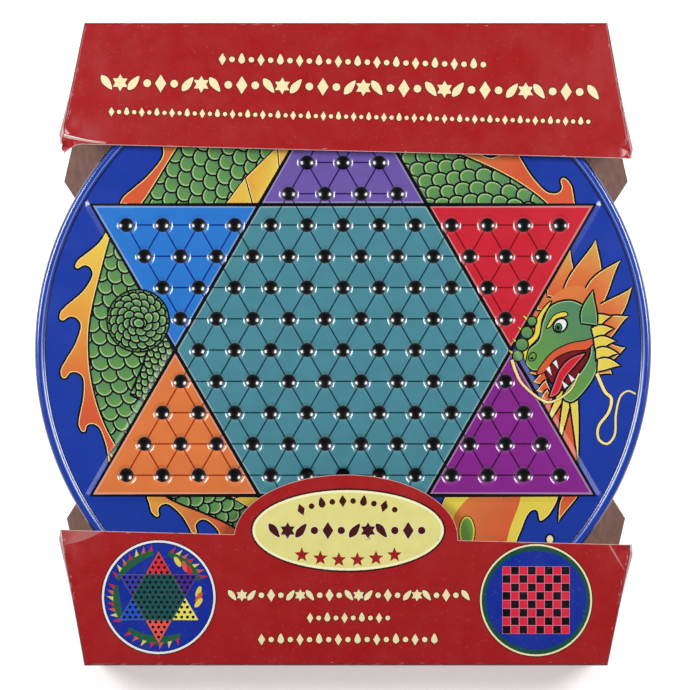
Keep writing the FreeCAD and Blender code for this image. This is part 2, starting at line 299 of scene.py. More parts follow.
def gradient(colours, start, end):
    """An ink that runs through evenly spaced colours from one point to another."""
    dx, dy = end[0] - start[0], end[1] - start[1]
    span = dx * dx + dy * dy

    def ink(x, y):
        t = min(0.999, max(0.0, ((x - start[0]) * dx + (y - start[1]) * dy) / span)) * (len(colours) - 1)
        k = int(t)
        return mix(colours[k], colours[k + 1], t - k)

    return ink


# ---- Printed artwork ---------------------------------------------------------------------------
CUT = "cut"
FINE_LINE = "fine line"


class Artwork:
    """Polygons laid one over another. The topmost one gives a place its ink."""

    def __init__(self):
        self.points, self.faces, self.inks, self.boxes = [], [], [], []
        self.limit = None  # the polygon that everything is cut off by

    def lay(self, outline, ink=None, within=None):
        """Adds a polygon. CUT is a hole, FINE_LINE deepens the ink below, and None only adds edges."""
        if len(outline) < 3 or abs(area(outline)) < 1e-4:
            return None
        if area(outline) < 0:
            outline = outline[::-1]
        first = len(self.points)
        self.points += [Vector(point) for point in outline]
        self.faces.append(list(range(first, len(self.points))))
        self.inks.append((ink, within))
        (left, low), (right, high) = box_round(outline)
        self.boxes.append((left - 0.01, right + 0.01, low - 0.01, high + 0.01))
        return len(self.faces) - 1

    def stroke(self, path, width, ink, closed=False, within=None):
        """A line of even width, or of a width that is a function of the fraction along it."""
        half = (lambda t: width(t) / 2) if callable(width) else (lambda t: width / 2)
        left, right = offset(path, half, closed), offset(path, lambda t: -half(t), closed)
        for k in range(len(path) if closed else len(path) - 1):
            n = (k + 1) % len(path)
            quad = [left[k], right[k], right[n], left[n]]
            turns = {area([quad[i - 1], quad[i], quad[(i + 1) % 4]]) > 0 for i in range(4)}
            if len(turns) == 1:
                self.lay(quad, ink, within)
            else:
                self.lay([left[k], right[k], right[n]], ink, within)
                self.lay([left[k], right[n], left[n]], ink, within)

    def shape(self, outline, ink, line=1.0, rim=None, rim_width=0.5):
        """A filled shape with a black outline, and a lighter rim within it, as the print draws everything."""
        index = self.lay(outline, ink)
        if rim:
            self.stroke(outline, line + 2 * rim_width, rim, closed=True, within=index)
        self.stroke(outline, line, BLACK, closed=True)

    def flipped(self):
        """The artwork turned over about the x axis."""
        other = Artwork()
        other.points = [Vector((p.x, -p.y)) for p in self.points]
        other.faces = [face[::-1] for face in self.faces]
        other.boxes = [(left, right, -high, -low) for left, right, low, high in self.boxes]
        other.inks, other.limit = self.inks, self.limit
        return other

    def triangles(self):
        """The plane cut along every edge: points, and faces as (corner indices, ink, whether a fine line)."""
        points, _, faces, _, _, sources = delaunay_2d_cdt(self.points, [], self.faces, 1, 1e-5, True)
        found = []
        for corners, stack in zip(faces, sources):
            x = sum(points[i].x for i in corners) / len(corners)
            y = sum(points[i].y for i in corners) / len(corners)
            here = {i for i in stack if self.covers(i, x, y)}
            if self.limit is not None and self.limit not in here:
                continue
            ink, fine = self.top(here)
            if ink is not None and ink != CUT:
                found.append((corners, ink, fine))
        return [(point.x, point.y) for point in points], found

    def covers(self, index, x, y):
        """A guard against faces that the mesh cutter puts in a polygon far away."""
        left, right, low, high = self.boxes[index]
        return left < x < right and low < y < high

    def top(self, here):
        """The topmost ink among the polygons at a place, and whether a fine line crosses it there."""
        fine = False
        for index in sorted(here, reverse=True):
            ink, within = self.inks[index]
            if ink is None or (within is not None and within not in here):
                continue
            if ink == FINE_LINE:
                fine = True
                continue
            return ink, fine
        return None, fine


def deepened(colour):
    """The richer, darker tone of a fine line over a colour."""
    return tuple(0.6 * value * value for value in colour)


# ---- Meshes ------------------------------------------------------------------------------------
class Skin:
    """Collects corners, normals and coloured faces for one mesh. place puts a point in the frame."""

    def __init__(self, place=None):
        self.place = place or (lambda point: point)
        self.index, self.points, self.normals, self.faces, self.colours, self.slots = {}, [], [], [], [], []

    def corner(self, point, normal, layer):
        key = tuple(round(value, 3) for value in point) + (layer,)
        key += tuple(round(value, 1) for value in normal)
        number = self.index.setdefault(key, len(self.points))
        if number == len(self.points):
            self.points.append(Vector(point))
            self.normals.append(Vector(normal).normalized())
        return number

    def face(self, points, colours, normals, slot=0, layer=0):
        """Adds a face, turned over if it faces away from its normals. Layers don't share corners."""
        ids = [self.corner(point, normal, layer) for point, normal in zip(points, normals)]
        if len(set(ids)) < 3:
            return
        if len(set(ids)) < len(ids):
            keep = [k for k in range(len(ids)) if ids[k] != ids[k - 1]]
            ids, points = [ids[k] for k in keep], [points[k] for k in keep]
            colours, normals = [colours[k] for k in keep], [normals[k] for k in keep]
        a, b, c = (Vector(points[k]) for k in (0, 1, 2))
        across = (b - a).cross(c - a)
        if across.dot(sum((Vector(normal) for normal in normals), Vector())) < 0:
            ids, colours = ids[::-1], colours[::-1]
        self.faces.append(ids)
        self.colours.append(colours)
        self.slots.append(slot)

    def build(self, name, materials):
        mesh = bpy.data.meshes.new(name)
        origin = Vector(self.place(Vector((0, 0, 0))))
        axes = [Vector(self.place(axis)) - origin for axis in ((1, 0, 0), (0, 1, 0), (0, 0, 1))]
        if axes[0].cross(axes[1]).dot(axes[2]) < 0:
            self.faces = [face[::-1] for face in self.faces]
            self.colours = [colours[::-1] for colours in self.colours]
        placed = [self.place(point) for point in self.points]
        mesh.from_pydata([Vector(point) * MM for point in placed], [], self.faces)
        for material in materials:
            mesh.materials.append(material)
        mesh.polygons.foreach_set("material_index", self.slots)
        mesh.polygons.foreach_set("use_smooth", [True] * len(self.faces))
        ink = mesh.color_attributes.new("ink", "FLOAT_COLOR", "CORNER")
        flat = [value for face in self.colours for colour in face for value in (*colour, 1.0)]
        ink.data.foreach_set("color", flat)
        turned_normals = [Vector(self.place(normal)) - origin for normal in self.normals]
        mesh.normals_split_custom_set_from_vertices(turned_normals)
        mesh.update()
        piece = bpy.data.objects.new(name, mesh)
        bpy.context.scene.collection.objects.link(piece)
        return piece

    def hand_over(self, name, materials, body, node):
        """Makes the piece, which rides on a body, replaces a CAD node and fills a slot."""
        piece = self.build(name, materials)
        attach(piece, body)
        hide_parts(node)


def spread(skin, art, height, up=1, slot=0, plain=None):
    """Lays artwork on a surface given by height(x, y), with normals from its slope."""
    points, faces = art.triangles()
    step = 0.02
    solid = []
    for x, y in points:
        z = height(x, y)
        slope = Vector((z - height(x + step, y), z - height(x, y + step), step)) * up
        solid.append(((x, y, z), slope))
    for corners, ink, fine in faces:
        if plain:
            colours = [plain] * len(corners)
        elif callable(ink):
            colours = [ink(*points[i]) for i in corners]
        else:
            colours = [ink] * len(corners)
        if fine:
            colours = [deepened(colour) for colour in colours]
        skin.face([solid[i][0] for i in corners], colours, [solid[i][1] for i in corners], slot)


def sweep(skin, profile, steps, slot=0, centre=(0, 0, 0), warp=None):
    """Turns a profile of (radius, height, colour) about an axis. The outside is to the left of its way."""
    warp = warp or (lambda radius, angle: radius)
    pairs = zip(profile, profile[1:])
    facing = [Vector((low[1] - high[1], high[0] - low[0])).normalized() for low, high in pairs]

    def shared(k, n):
        """The normal where segment k meets segment n."""
        other = facing[n] if 0 <= n < len(facing) and facing[n].dot(facing[k]) > CREASE else facing[k]
        return (facing[k] + other).normalized()

    for k in range(len(facing)):
        start, end = shared(k, k - 1), shared(k, k + 1)
        (r0, z0, _), (r1, z1, colour) = profile[k], profile[k + 1]
        for n in range(steps):
            a, b = tau * n / steps, tau * (n + 1) / steps
            points, normals = [], []
            for r, z, way, t in ((r0, z0, start, a), (r1, z1, end, a), (r1, z1, end, b), (r0, z0, start, b)):
                reach = warp(r, t)
                points.append((centre[0] + reach * cos(t), centre[1] + reach * sin(t), centre[2] + z))
                normals.append(Vector((way.x * cos(t), way.x * sin(t), way.y)))
            skin.face(points, [colour] * 4, normals, slot)


# ---- Materials ---------------------------------------------------------------------------------
def add_node(tree, kind, values):
    """A shader node with some of its inputs set."""
    node = tree.nodes.new("ShaderNode" + kind)
    for key, value in values.items():
        node.inputs[key].default_value = value
    return node


def finish(name, colour=None, rough=0.4, rough_spread=0.1, coat=0.0, metal=0.0, mottle=0.08, grain=60.0,
           bump=0.05, bump_scale=400.0, waves=0.0, wave_scale=12.0, stretch=(1, 1, 1), scuff=0.0,
           scuff_colour=(1, 1, 1), sheen=0.0, glow=0.0):
    """A procedural surface. With no colour it takes the mesh's ink. Scales are per metre of the object."""
    material = bpy.data.materials.new(name)
    material.use_nodes = True
    tree = material.node_tree
    link = tree.links.new
    shader = tree.nodes["Principled BSDF"]
    settings = {"Metallic": metal, "Coat Weight": coat, "Coat Roughness": 0.15, "Sheen Weight": sheen,
                "Subsurface Weight": glow, "Subsurface Radius": (0.004, 0.002, 0.001)}
    for key, value in settings.items():
        shader.inputs[key].default_value = value
    mapping = add_node(tree, "Mapping", {"Scale": stretch})
    link(add_node(tree, "TexCoord", {}).outputs["Object"], mapping.inputs["Vector"])

    def clouds(scale, detail=4.0):
        texture = add_node(tree, "TexNoise", {"Scale": scale, "Detail": detail})
        link(mapping.outputs["Vector"], texture.inputs["Vector"])
        return texture.outputs["Fac"]

    def ranged(value, low, high, start=0.3, end=0.7):
        node = add_node(tree, "MapRange", {"From Min": start, "From Max": end, "To Min": low, "To Max": high})
        link(value, node.inputs["Value"])
        return node.outputs["Result"]

    def bumped(height, strength, distance, before=None):
        node = add_node(tree, "Bump", {"Strength": strength, "Distance": distance})
        link(height, node.inputs["Height"])
        if before:
            link(before, node.inputs["Normal"])
        return node.outputs["Normal"]

    if colour is None:
        source = add_node(tree, "VertexColor", {})
        source.layer_name = "ink"
    else:
        source = add_node(tree, "RGB", {})
        source.outputs[0].default_value = (*colour, 1)
    tone = add_node(tree, "Mix", {0: 1.0})
    tone.data_type, tone.blend_type = "RGBA", "MULTIPLY"
    link(source.outputs[0], tone.inputs[6])
    link(ranged(clouds(grain), 1 - mottle, 1 + mottle), tone.inputs[7])
    result = tone.outputs[2]
    if scuff:
        worn = add_node(tree, "Mix", {7: (*scuff_colour, 1)})
        worn.data_type = "RGBA"
        link(ranged(clouds(grain * 5, 8.0), 0.0, scuff, 0.62, 0.74), worn.inputs[0])
        link(result, worn.inputs[6])
        result = worn.outputs[2]
    link(result, shader.inputs["Base Color"])
    link(ranged(clouds(grain * 0.7), rough - rough_spread, rough + rough_spread), shader.inputs["Roughness"])
    normal = bumped(clouds(bump_scale, 2.0), bump, 0.0002)
    if waves:
        normal = bumped(clouds(wave_scale, 1.0), waves, 0.002, normal)
    link(normal, shader.inputs["Normal"])
    return material


tin_print = finish("lacquered_print", rough=0.24, rough_spread=0.05, coat=1.0, mottle=0.05, grain=90,
                   bump=0.04, bump_scale=900, waves=0.12, wave_scale=14)
bare_tin = finish("bare_tinplate", BARE_TIN, rough=0.32, rough_spread=0.08, metal=1.0, mottle=0.06, grain=220,
                  bump=0.03, bump_scale=1500, stretch=(1, 0.15, 1))
card_print = finish("coated_card_print", rough=0.34, rough_spread=0.07, coat=0.2, mottle=0.04, grain=130,
                    bump=0.05, bump_scale=1400, waves=0.25, wave_scale=22, scuff=0.1,
                    scuff_colour=srgb(232, 150, 140))
board_inside = finish("grey_brown_board", BROWN_BOARD, rough=0.85, rough_spread=0.05, mottle=0.16, grain=420,
                      bump=0.35, bump_scale=2600, stretch=(1, 0.4, 1), scuff=0.35,
                      scuff_colour=srgb(168, 142, 124))
cut_edge = finish("raw_card_edge", RAW_CARD, rough=0.9, rough_spread=0.05, mottle=0.15, grain=900, bump=0.4,
                  bump_scale=4000, stretch=(1, 1, 6))
ball_plastic = finish("moulded_plastic", rough=0.22, rough_spread=0.05, coat=0.3, mottle=0.06, grain=160,
                      bump=0.03, bump_scale=900, glow=0.15)
checker_plastic = finish("checker_plastic", rough=0.34, rough_spread=0.08, coat=0.1, mottle=0.06, grain=240,
                         bump=0.06, bump_scale=1800, scuff=0.12, scuff_colour=srgb(190, 180, 176))
net_cord = finish("knitted_cord", rough=0.65, rough_spread=0.08, mottle=0.12, grain=1500, bump=0.5,
                  bump_scale=5200, sheen=0.4)
sheet_paper = finish("uncoated_paper", rough=0.85, rough_spread=0.05, mottle=0.04, grain=700, bump=0.15,
                     bump_scale=3600)


# ---- Star artwork ------------------------------------------------------------------------------
def polar(radius, degrees, centre=(0, 0)):
    """The point at a distance and heading from a centre."""
    return (centre[0] + radius * cos(radians(degrees)), centre[1] + radius * sin(radians(degrees)))


def star_reach(x, y):
    """How far a point lies outside the star's edges, round its tips; negative inside."""
    best = None
    for sign in (1, -1):
        edges = []
        for angle in TRIANGLE_NORMALS:
            out = sign * (x * cos(angle) + y * sin(angle)) - STAR_APOTHEM
            along = abs(y * cos(angle) - x * sin(angle)) - sqrt(3) * STAR_APOTHEM
            edges.append(hypot(out, along) if out > 0 and along > 0 else out)
        reach = max(edges)
        best = reach if best is None else min(best, reach)
    return best


def star_outline(grow):
    """The star's outline moved out by a distance, with rounded tips."""
    corners = []
    for k in range(6):
        heading = 90 + 60 * k
        tip = polar(STAR_TIP, heading)
        corners += [polar(grow, heading + turn, tip) for turn in range(-60, 61, 20)] if grow > 0 else [tip]
        corners.append(polar(STAR_NOTCH + grow * 2 / sqrt(3), heading + 30))
    return corners


def ramp_outlines(stops):
    """Outlines of the step round the star, at fractions of its width."""
    start, end = RAMP
    return [star_outline(start + (end - start) * t) for t in stops]


def hole_centres():
    """The middles of the 121 holes, which lie on a lattice of triangles inside the star."""
    found = []
    for row in range(-8, 9):
        for step in range(-16, 17):
            x, y = step * HOLE_PITCH / 2, row * ROW_PITCH
            if (row + step) % 2 == 0 and star_reach(x, y) < -0.4 * ROW_PITCH:
                found.append((x, y))
    return found


HOLES = hole_centres()


def lay_star(art, centre=(0, 0), scale=1.0, line=2.2, dots=False, inks=POINT_COLOURS, heart=TEAL):
    """The star's coloured regions and their black borders. Small copies have printed dots, not dimples."""

    def put(points):
        return [(centre[0] + x * scale, centre[1] + y * scale) for x, y in points]

    notches = [polar(STAR_NOTCH, 120 + 60 * k) for k in range(6)]
    tips = [polar(STAR_TIP, 90 + 60 * k) for k in range(6)]
    regions = [(notches, heart)]
    regions += [([tips[k], notches[k], notches[k - 1]], inks[k]) for k in range(6)]
    for outline, ink in regions:
        art.lay(put(outline), mix(ink, WHITE, 0.22))
        art.lay(put(inset(outline, line / scale * 0.5 + 0.5)), ink)
    if dots:
        for x, y in HOLES:
            art.lay(put(oval(x, y, DOT_RADIUS * 1.45, steps=8)), BLACK)
    else:
        lay_lattice(art)
    for k in range(6):
        art.stroke(put([notches[k - 1], notches[k]]), line * 0.8, BLACK)
    art.stroke(put(star_outline(0)), line, BLACK, closed=True)
    for k in range(6):
        art.lay(put(oval(*notches[k], line * 0.62 / max(scale, 0.3), steps=10)), BLACK)


def lay_lattice(art):
    """Thin darker lines that join each hole to its neighbours."""
    reach = HOLE_PITCH / 2
    for x, y in HOLES:
        for heading in (0, 60, 120):
            end = polar(HOLE_PITCH, heading, (x, y))
            if any(hypot(end[0] - u, end[1] - v) < 0.1 * reach for u, v in HOLES):
                art.stroke([(x, y), end], 0.75, FINE_LINE)


def eased(t, ends=0.2):
    """A slope from 0 to 1 that is straight but for its rounded ends."""
    if t > 0.5:
        return 1 - eased(1 - t, ends)
    steep = 1 / (1 - ends)
    return steep * (t - ends / 2) if t > ends else steep * max(0.0, t) ** 2 / (2 * ends)


def lid_height(x, y):
    """The star panel, its step down and the field, with 0 at the top of the rim."""
    start, end = RAMP
    return STAR_STEP * (1 - eased(clamp((star_reach(x, y) - start) / (end - start)))) - RIM_RISE


def printed_height(x, y):
    """The lid's face with its dimples."""
    row = round(y / ROW_PITCH)
    shift = HOLE_PITCH / 2 if row % 2 else 0.0
    column = round((x - shift) / HOLE_PITCH)
    hole = (column * HOLE_PITCH + shift, row * ROW_PITCH)
    away = hypot(x - hole[0], y - hole[1])
    if away >= LIP_EDGE or star_reach(*hole) > -0.3 * ROW_PITCH:
        return lid_height(x, y)
    return lid_height(x, y) + bowl(away)


def bowl(radius):
    """Depth of a dimple at a distance from its centre: a sphere, then a rounded lip."""
    bottom = BALL_SEAT - DIMPLE_DEPTH
    if radius <= BOWL_EDGE:
        return bottom - sqrt(BALL_SEAT ** 2 - radius ** 2)
    rise = sqrt(BALL_SEAT ** 2 - BOWL_EDGE ** 2)
    span = LIP_EDGE - BOWL_EDGE
    t = min(1.0, (radius - BOWL_EDGE) / span)
    drop = (bottom - rise) * (2 * t ** 3 - 3 * t * t + 1)
    return drop + BOWL_EDGE / rise * span * (t ** 3 - 2 * t * t + t)


def press_dimples(skin, level, radii, steps, up, slot, colour):
    """Rings of faces in every dimple. up is 1 for the print and -1 for the side below."""
    for x, y in HOLES:
        for inner, outer in zip(radii, radii[1:]):
            for k in range(steps):
                quad, normals = [], []
                for radius, step in ((inner, k), (outer, k), (outer, k + 1), (inner, k + 1)):
                    c, s = cos(tau * step / steps), sin(tau * step / steps)
                    slope = (bowl(radius + 0.01) - bowl(max(0.0, radius - 0.01))) / 0.02
                    if radius in (0.0, LIP_EDGE):
                        slope = 0.0
                    quad.append((x + radius * c, y + radius * s, level + bowl(radius)))
                    normals.append(Vector((-slope * c, -slope * s, 1)) * up)
                skin.face(quad, [colour] * 4, normals, slot)


# ---- Serpent artwork ---------------------------------------------------------------------------
# One hooked wave of a fin: how far along it, and how high.
HOOK = ((0.0, 0.30), (0.32, 0.46), (0.60, 0.80), (0.76, 1.0), (0.90, 1.0), (0.93, 0.84), (0.84, 0.66),
        (0.86, 0.44))


def lay_fringe(art, edge, height, count, ink, side=1):
    """A fin of hooked waves on one side of an edge."""
    marks = path_lengths(edge)
    steps = [((k + u) / count, v) for k in range(count) for u, v in HOOK] + [(1.0, 0.3)]
    outer = []
    for u, v in line_through(steps, 4):
        point, heading = at_length(edge, marks, u * marks[-1])
        reach = v * height * (0.55 + 0.45 * sin(pi * clamp(u) ** 0.8)) * side
        outer.append((point[0] - sin(heading) * reach, point[1] + cos(heading) * reach))
    art.shape(edge + outer[::-1], ink, rim=CREAM_RIM, rim_width=0.4)


def lay_scale(art, x, y, heading, length, width, within):
    """One overlapping scale whose rounded end points along heading."""
    c, s = cos(heading), sin(heading)
    tip, root, middle = ((x + c * reach, y + s * reach) for reach in (length, -length, -0.25))
    art.lay(oval(x, y, length + 0.7, width + 0.7, 16, heading), BLACK, within)
    art.lay(oval(x, y, length - 0.3, width - 0.3, 16, heading), SCALE_RIM, within)
    inner = oval(*middle, length - 0.8, width - 0.8, 14, heading)
    art.lay(inner, gradient((GREEN_BASE, GREEN_TIP), root, tip), within)


def lay_body(art, spine, half_width, scale_size, belly=None, seed=1, plate=(1.5, 1.5)):
    """A scaled stretch of body along a spine. belly is the side, 1 or -1, that has plates, not scales."""
    outline = offset(spine, half_width) + offset(spine, lambda t: -half_width(t))[::-1]
    body = art.lay(outline, GREEN_BASE)
    marks = path_lengths(spine)
    chance = random.Random(seed)
    rows = int(ceil(marks[-1] / (scale_size * 0.86)))
    for row in range(rows, -1, -1):
        along = min(marks[-1], row * marks[-1] / rows)
        (x, y), heading = at_length(spine, marks, along)
        half = half_width(along / marks[-1])
        across = max(2, round(2 * half / (scale_size * 1.02)))
        for k in range(-1, across + 1):
            shift = (k + (0.5 if row % 2 else 0.0)) / across * 2 * half - half + scale_size * 0.25
            cx, cy = x - sin(heading) * shift, y + cos(heading) * shift
            wide = half / across * 1.12 * chance.uniform(0.94, 1.06)
            lay_scale(art, cx, cy, heading, scale_size * 0.66, wide, body)
    if belly:
        lay_belly(art, spine, half_width, belly, plate[0] * scale_size, plate[1] * scale_size)
    art.stroke(outline, 1.1, BLACK, closed=True)


def lay_belly(art, spine, half_width, side, width, length):
    """A band of broad yellow plates along one edge of a body."""
    outer = offset(spine, lambda t: side * half_width(t))
    inner = offset(spine, lambda t: side * (half_width(t) - width))
    marks_outer, marks_inner = path_lengths(outer), path_lengths(inner)
    count = int(ceil(marks_outer[-1] / length))
    for k in range(count):
        corners = []
        for path, marks, turn in ((outer, marks_outer, 0.25), (inner, marks_inner, -0.15)):
            for u in (k, k + 1):
                corners.append(at_length(path, marks, clamp((u + turn) / count) * marks[-1])[0])
        plate = [corners[0], corners[1], corners[3], corners[2]]
        art.shape(plate, gradient((YELLOW, AMBER), corners[0], corners[3]), rim=CREAM_RIM)


def lay_coil(art, centre, radius, size):
    """A curled-up end: rings of small scales that wind inwards."""
    disc = art.lay(oval(*centre, radius, steps=48), GREEN_BASE)
    ring, turn = radius - size * 0.1, 0.0
    while ring > -size * 0.3:
        count = max(1, int(tau * ring / (size * 1.02)))
        for k in range(count):
            heading = tau * k / count + turn
            point = (centre[0] + ring * cos(heading), centre[1] + ring * sin(heading))
            lay_scale(art, *point, heading + 1.2, size * 0.66, size * 0.56, disc)
        ring -= size * 0.84
        turn += 0.35
    art.stroke(oval(*centre, radius, steps=48), 0.9, BLACK, closed=True)


def lay_tongue(art, base, tip, width, bend, inks=(ORANGE, AMBER, YELLOW), rim=CREAM_RIM):
    """A flame from its base to its tip. bend is how far its middle swings to the left."""
    dx, dy = tip[0] - base[0], tip[1] - base[1]
    length = hypot(dx, dy)
    nx, ny = -dy / length, dx / length

    def point(t, side):
        swing = bend * sin(pi * t * 0.9)
        half = width / 2 * (1 - t) ** 0.8 * (1 + 0.5 * sin(pi * t)) * side
        return (base[0] + dx * t + nx * (swing + half), base[1] + dy * t + ny * (swing + half))

    stops = [k / 9 for k in range(10)]
    outline = [point(t, 1) for t in stops] + [point(t, -1) for t in reversed(stops[:-1])]
    art.shape(outline, gradient(inks, base, tip), rim=rim, rim_width=0.35)


def lay_whisker(art, points, width):
    """A pale hair in a black line, thinner towards its end."""
    path = line_through(points)
    art.stroke(path, lambda t: (width + 0.9) * (1 - 0.55 * t), BLACK)
    art.stroke(path, lambda t: width * (1 - 0.55 * t), CREAM_RIM)


# Each flame of the mane: its root, its tip and its width.
MANE_FLAMES = (
    (100, 4, 94, 20, 9), (102, 12, 101, 33, 10), (106, 20, 107, 42, 11), (112, 26, 117, 53, 12),
    (120, 27, 129, 57, 13), (127, 24, 143, 46, 9), (131, 16, 148, 33, 9), (132, 8, 147, 17, 8),
    (131, 0, 145, 2, 8), (127, -8, 138, -13, 8),
)


def lay_head(art):
    """A serpent's head that looks down to the left, with a flame mane, an ear and long whiskers."""

    def tilted(points):
        return turned([(x - 114, y - 2) for x, y in points], radians(32), (115, 5), 0.94)

    def part(points, ink, line=1.0, rim=None):
        outline = tilted(through(points))
        art.shape(outline, ink(outline) if callable(ink) else ink, line, rim)

    for k, (x, y, u, v, width) in enumerate(MANE_FLAMES):
        lay_tongue(art, (x, y), (u, v), width * 1.25, 1.8 if k % 2 else -1.8, MANE)
    mane = through([(97, 2), (101, 18), (109, 29), (121, 33), (131, 25), (136, 10), (134, -4), (127, -13),
                    (110, -12), (106, -2)])
    art.lay(mane, gradient((ORANGE, MANE[1]), (122, -14), (110, 32)))
    for k in range(5):
        base = (103 + 0.8 * k, -4 - 4.6 * k)
        lay_tongue(art, base, (base[0] - 10 + k, base[1] - 3), 6.0, 0.8, (ORANGE, ORANGE, MANE[1]))
    # The mouth, the tongue, the jaw, the skull, the ridge over it and the lip.
    part([(122, -6), (108, -1), (96, -4), (94, -12), (99, -21), (111, -19), (121, -12)], srgb(118, 20, 34))
    part([(119, -9), (110, -7), (102, -9), (95, -14), (89, -19), (95, -20), (102, -15), (111, -12)], RED_INK,
         rim=srgb(226, 110, 110))
    part([(126, -4), (119, -12), (109, -17), (100, -20), (95, -23), (98, -28), (106, -27), (117, -22),
          (127, -12)],
         lambda jaw: gradient((GREEN_TIP, GREEN_BASE), jaw[20], jaw[0]), rim=SCALE_RIM)
    part([(133, 8), (128, 19), (117, 23), (108, 18), (101, 11), (93, 9), (88, 4), (89, -2), (95, -4),
          (104, -1), (113, -2), (121, -6), (130, -3)],
         lambda skull: gradient((GREEN_TIP, GREEN_BASE), skull[40], skull[4]), rim=SCALE_RIM)
    part([(88, 4), (94, 9.5), (102, 12), (109, 19.5), (118, 24.5), (114, 24.5), (106, 21), (100, 14.5),
          (92, 12.5)], YELLOW, 0.7)
    part([(128, -5), (121, -8), (112, -4), (103, -3), (95, -6), (90, -5), (94, -2), (104, 1), (114, 0),
          (122, -3)], ORANGE, 0.6)
    for x, y, side in ((97, -5, -1), (102, -4, -1), (100, -19.5, 1), (105, -18.5, 1)):
        tooth = [(x - 1.5, y), (x + 1.5, y + 0.3), (x - 0.4, y + 5 * side)]
        art.shape(tilted(tooth), WHITE, line=0.5)
    for k in range(5):
        lay_tongue(art, (127 + 0.8 * k, 13 - 5.2 * k), (138 + 1.2 * k, 17 - 6.4 * k), 6.5, 1.2,
                   (YELLOW, YELLOW, AMBER))
    lay_tongue(art, (126, 13), (128.5, 31), 8.5, 1.0, (GREEN_BASE, GREEN_TIP), SCALE_RIM)
    middles = tilted([(115, 11), (113.6, 10.6), (113.3, 10.5), (93, 4.5), (92.4, 4.0)])
    eye, iris, pupil, nose, nostril = middles
    art.shape(oval(*eye, 4.0, 3.2, 20, 0.8), WHITE)
    art.shape(oval(*iris, 1.8, 2.1, 14), srgb(46, 120, 70), line=0.5)
    art.lay(oval(*pupil, 0.8, 1.2, 12), BLACK)
    part([(121, 16), (115, 17.5), (108, 14), (110, 13.2), (115, 15), (121, 13.4)], YELLOW, 0.6)
    art.shape(oval(*nose, 2.4, 1.8, 16, 1.0), GREEN_TIP, line=0.6)
    art.lay(oval(*nostril, 0.9, 0.7, 10), BLACK)
    lay_whisker(art, [(130, -12), (134, -21), (137.5, -25), (136, -32), (131, -39), (131, -45.5),
                      (135.5, -48), (139.3, -43), (139.8, -33), (142, -24), (146, -21), (150, -22.5)], 1.7)


def lay_claw(art):
    """One jointed finger of the serpent, with small thorns, beside the star's right notch."""
    joints = ((96.8, 14.8, 2.5), (94.2, 9.0, 3.2), (91.6, 2.8, 3.4), (89.6, -3.0, 2.9))
    for x, y, _ in joints:
        art.shape([(x - 1.6, y + 2.0), (x - 5.2, y + 3.2), (x - 2.6, y - 0.4)], YELLOW, line=0.6)
    for x, y, radius in joints:
        ink = gradient((GREEN_TIP, GREEN_BASE), (x, y + radius), (x, y - radius))
        art.shape(oval(x, y, radius, steps=18), ink, line=0.8)


def lay_fan(art, root, ribs, inks):
    """A spread of long ribs with skin between them. Each rib is a heading in degrees and a length."""
    ends = [polar(length, heading, root) for heading, length in ribs]
    for a, b in zip(ends, ends[1:]):
        middle = between(a, b, 0.5)
        edge = line_through([a, between(middle, root, 0.12), b])
        art.shape([root] + edge, gradient(inks, root, middle), line=0.7)
    for heading, length in ribs:
        lay_tongue(art, root, polar(length + 1, heading, root), 4.4, 0.5, (YELLOW, YELLOW, YELLOW))


def lay_flame_sheet(art):
    """A broad flame with a pale border and a hooked tongue at its right."""
    outer = through([(58, -68), (50, -80), (48, -100), (66, -112), (84, -108), (90.5, -95), (95, -84.5),
                     (99, -82.5), (101, -88), (107, -83), (110.5, -72), (100, -62), (78, -60)])
    art.shape(outer, YELLOW, rim=CREAM_RIM)
    inner = through([(72, -70), (62, -78), (56, -88), (56, -104), (70, -108), (81, -104), (86, -90),
                     (91, -74), (84, -66)])
    art.lay(inner, gradient((MANE[1], ORANGE), (60, -76), (86, -96)))
    art.shape(oval(63.5, -93, 4.2, 8.0, 24), GREEN_TIP, line=0.5, rim=YELLOW, rim_width=0.8)
    lay_tongue(art, (119, -71), (110.5, -89), 7.0, -1.4, (ORANGE, ORANGE, MANE[1]))
    art.shape(oval(106, -97, 2.2, 2.6, 14), CREAM)


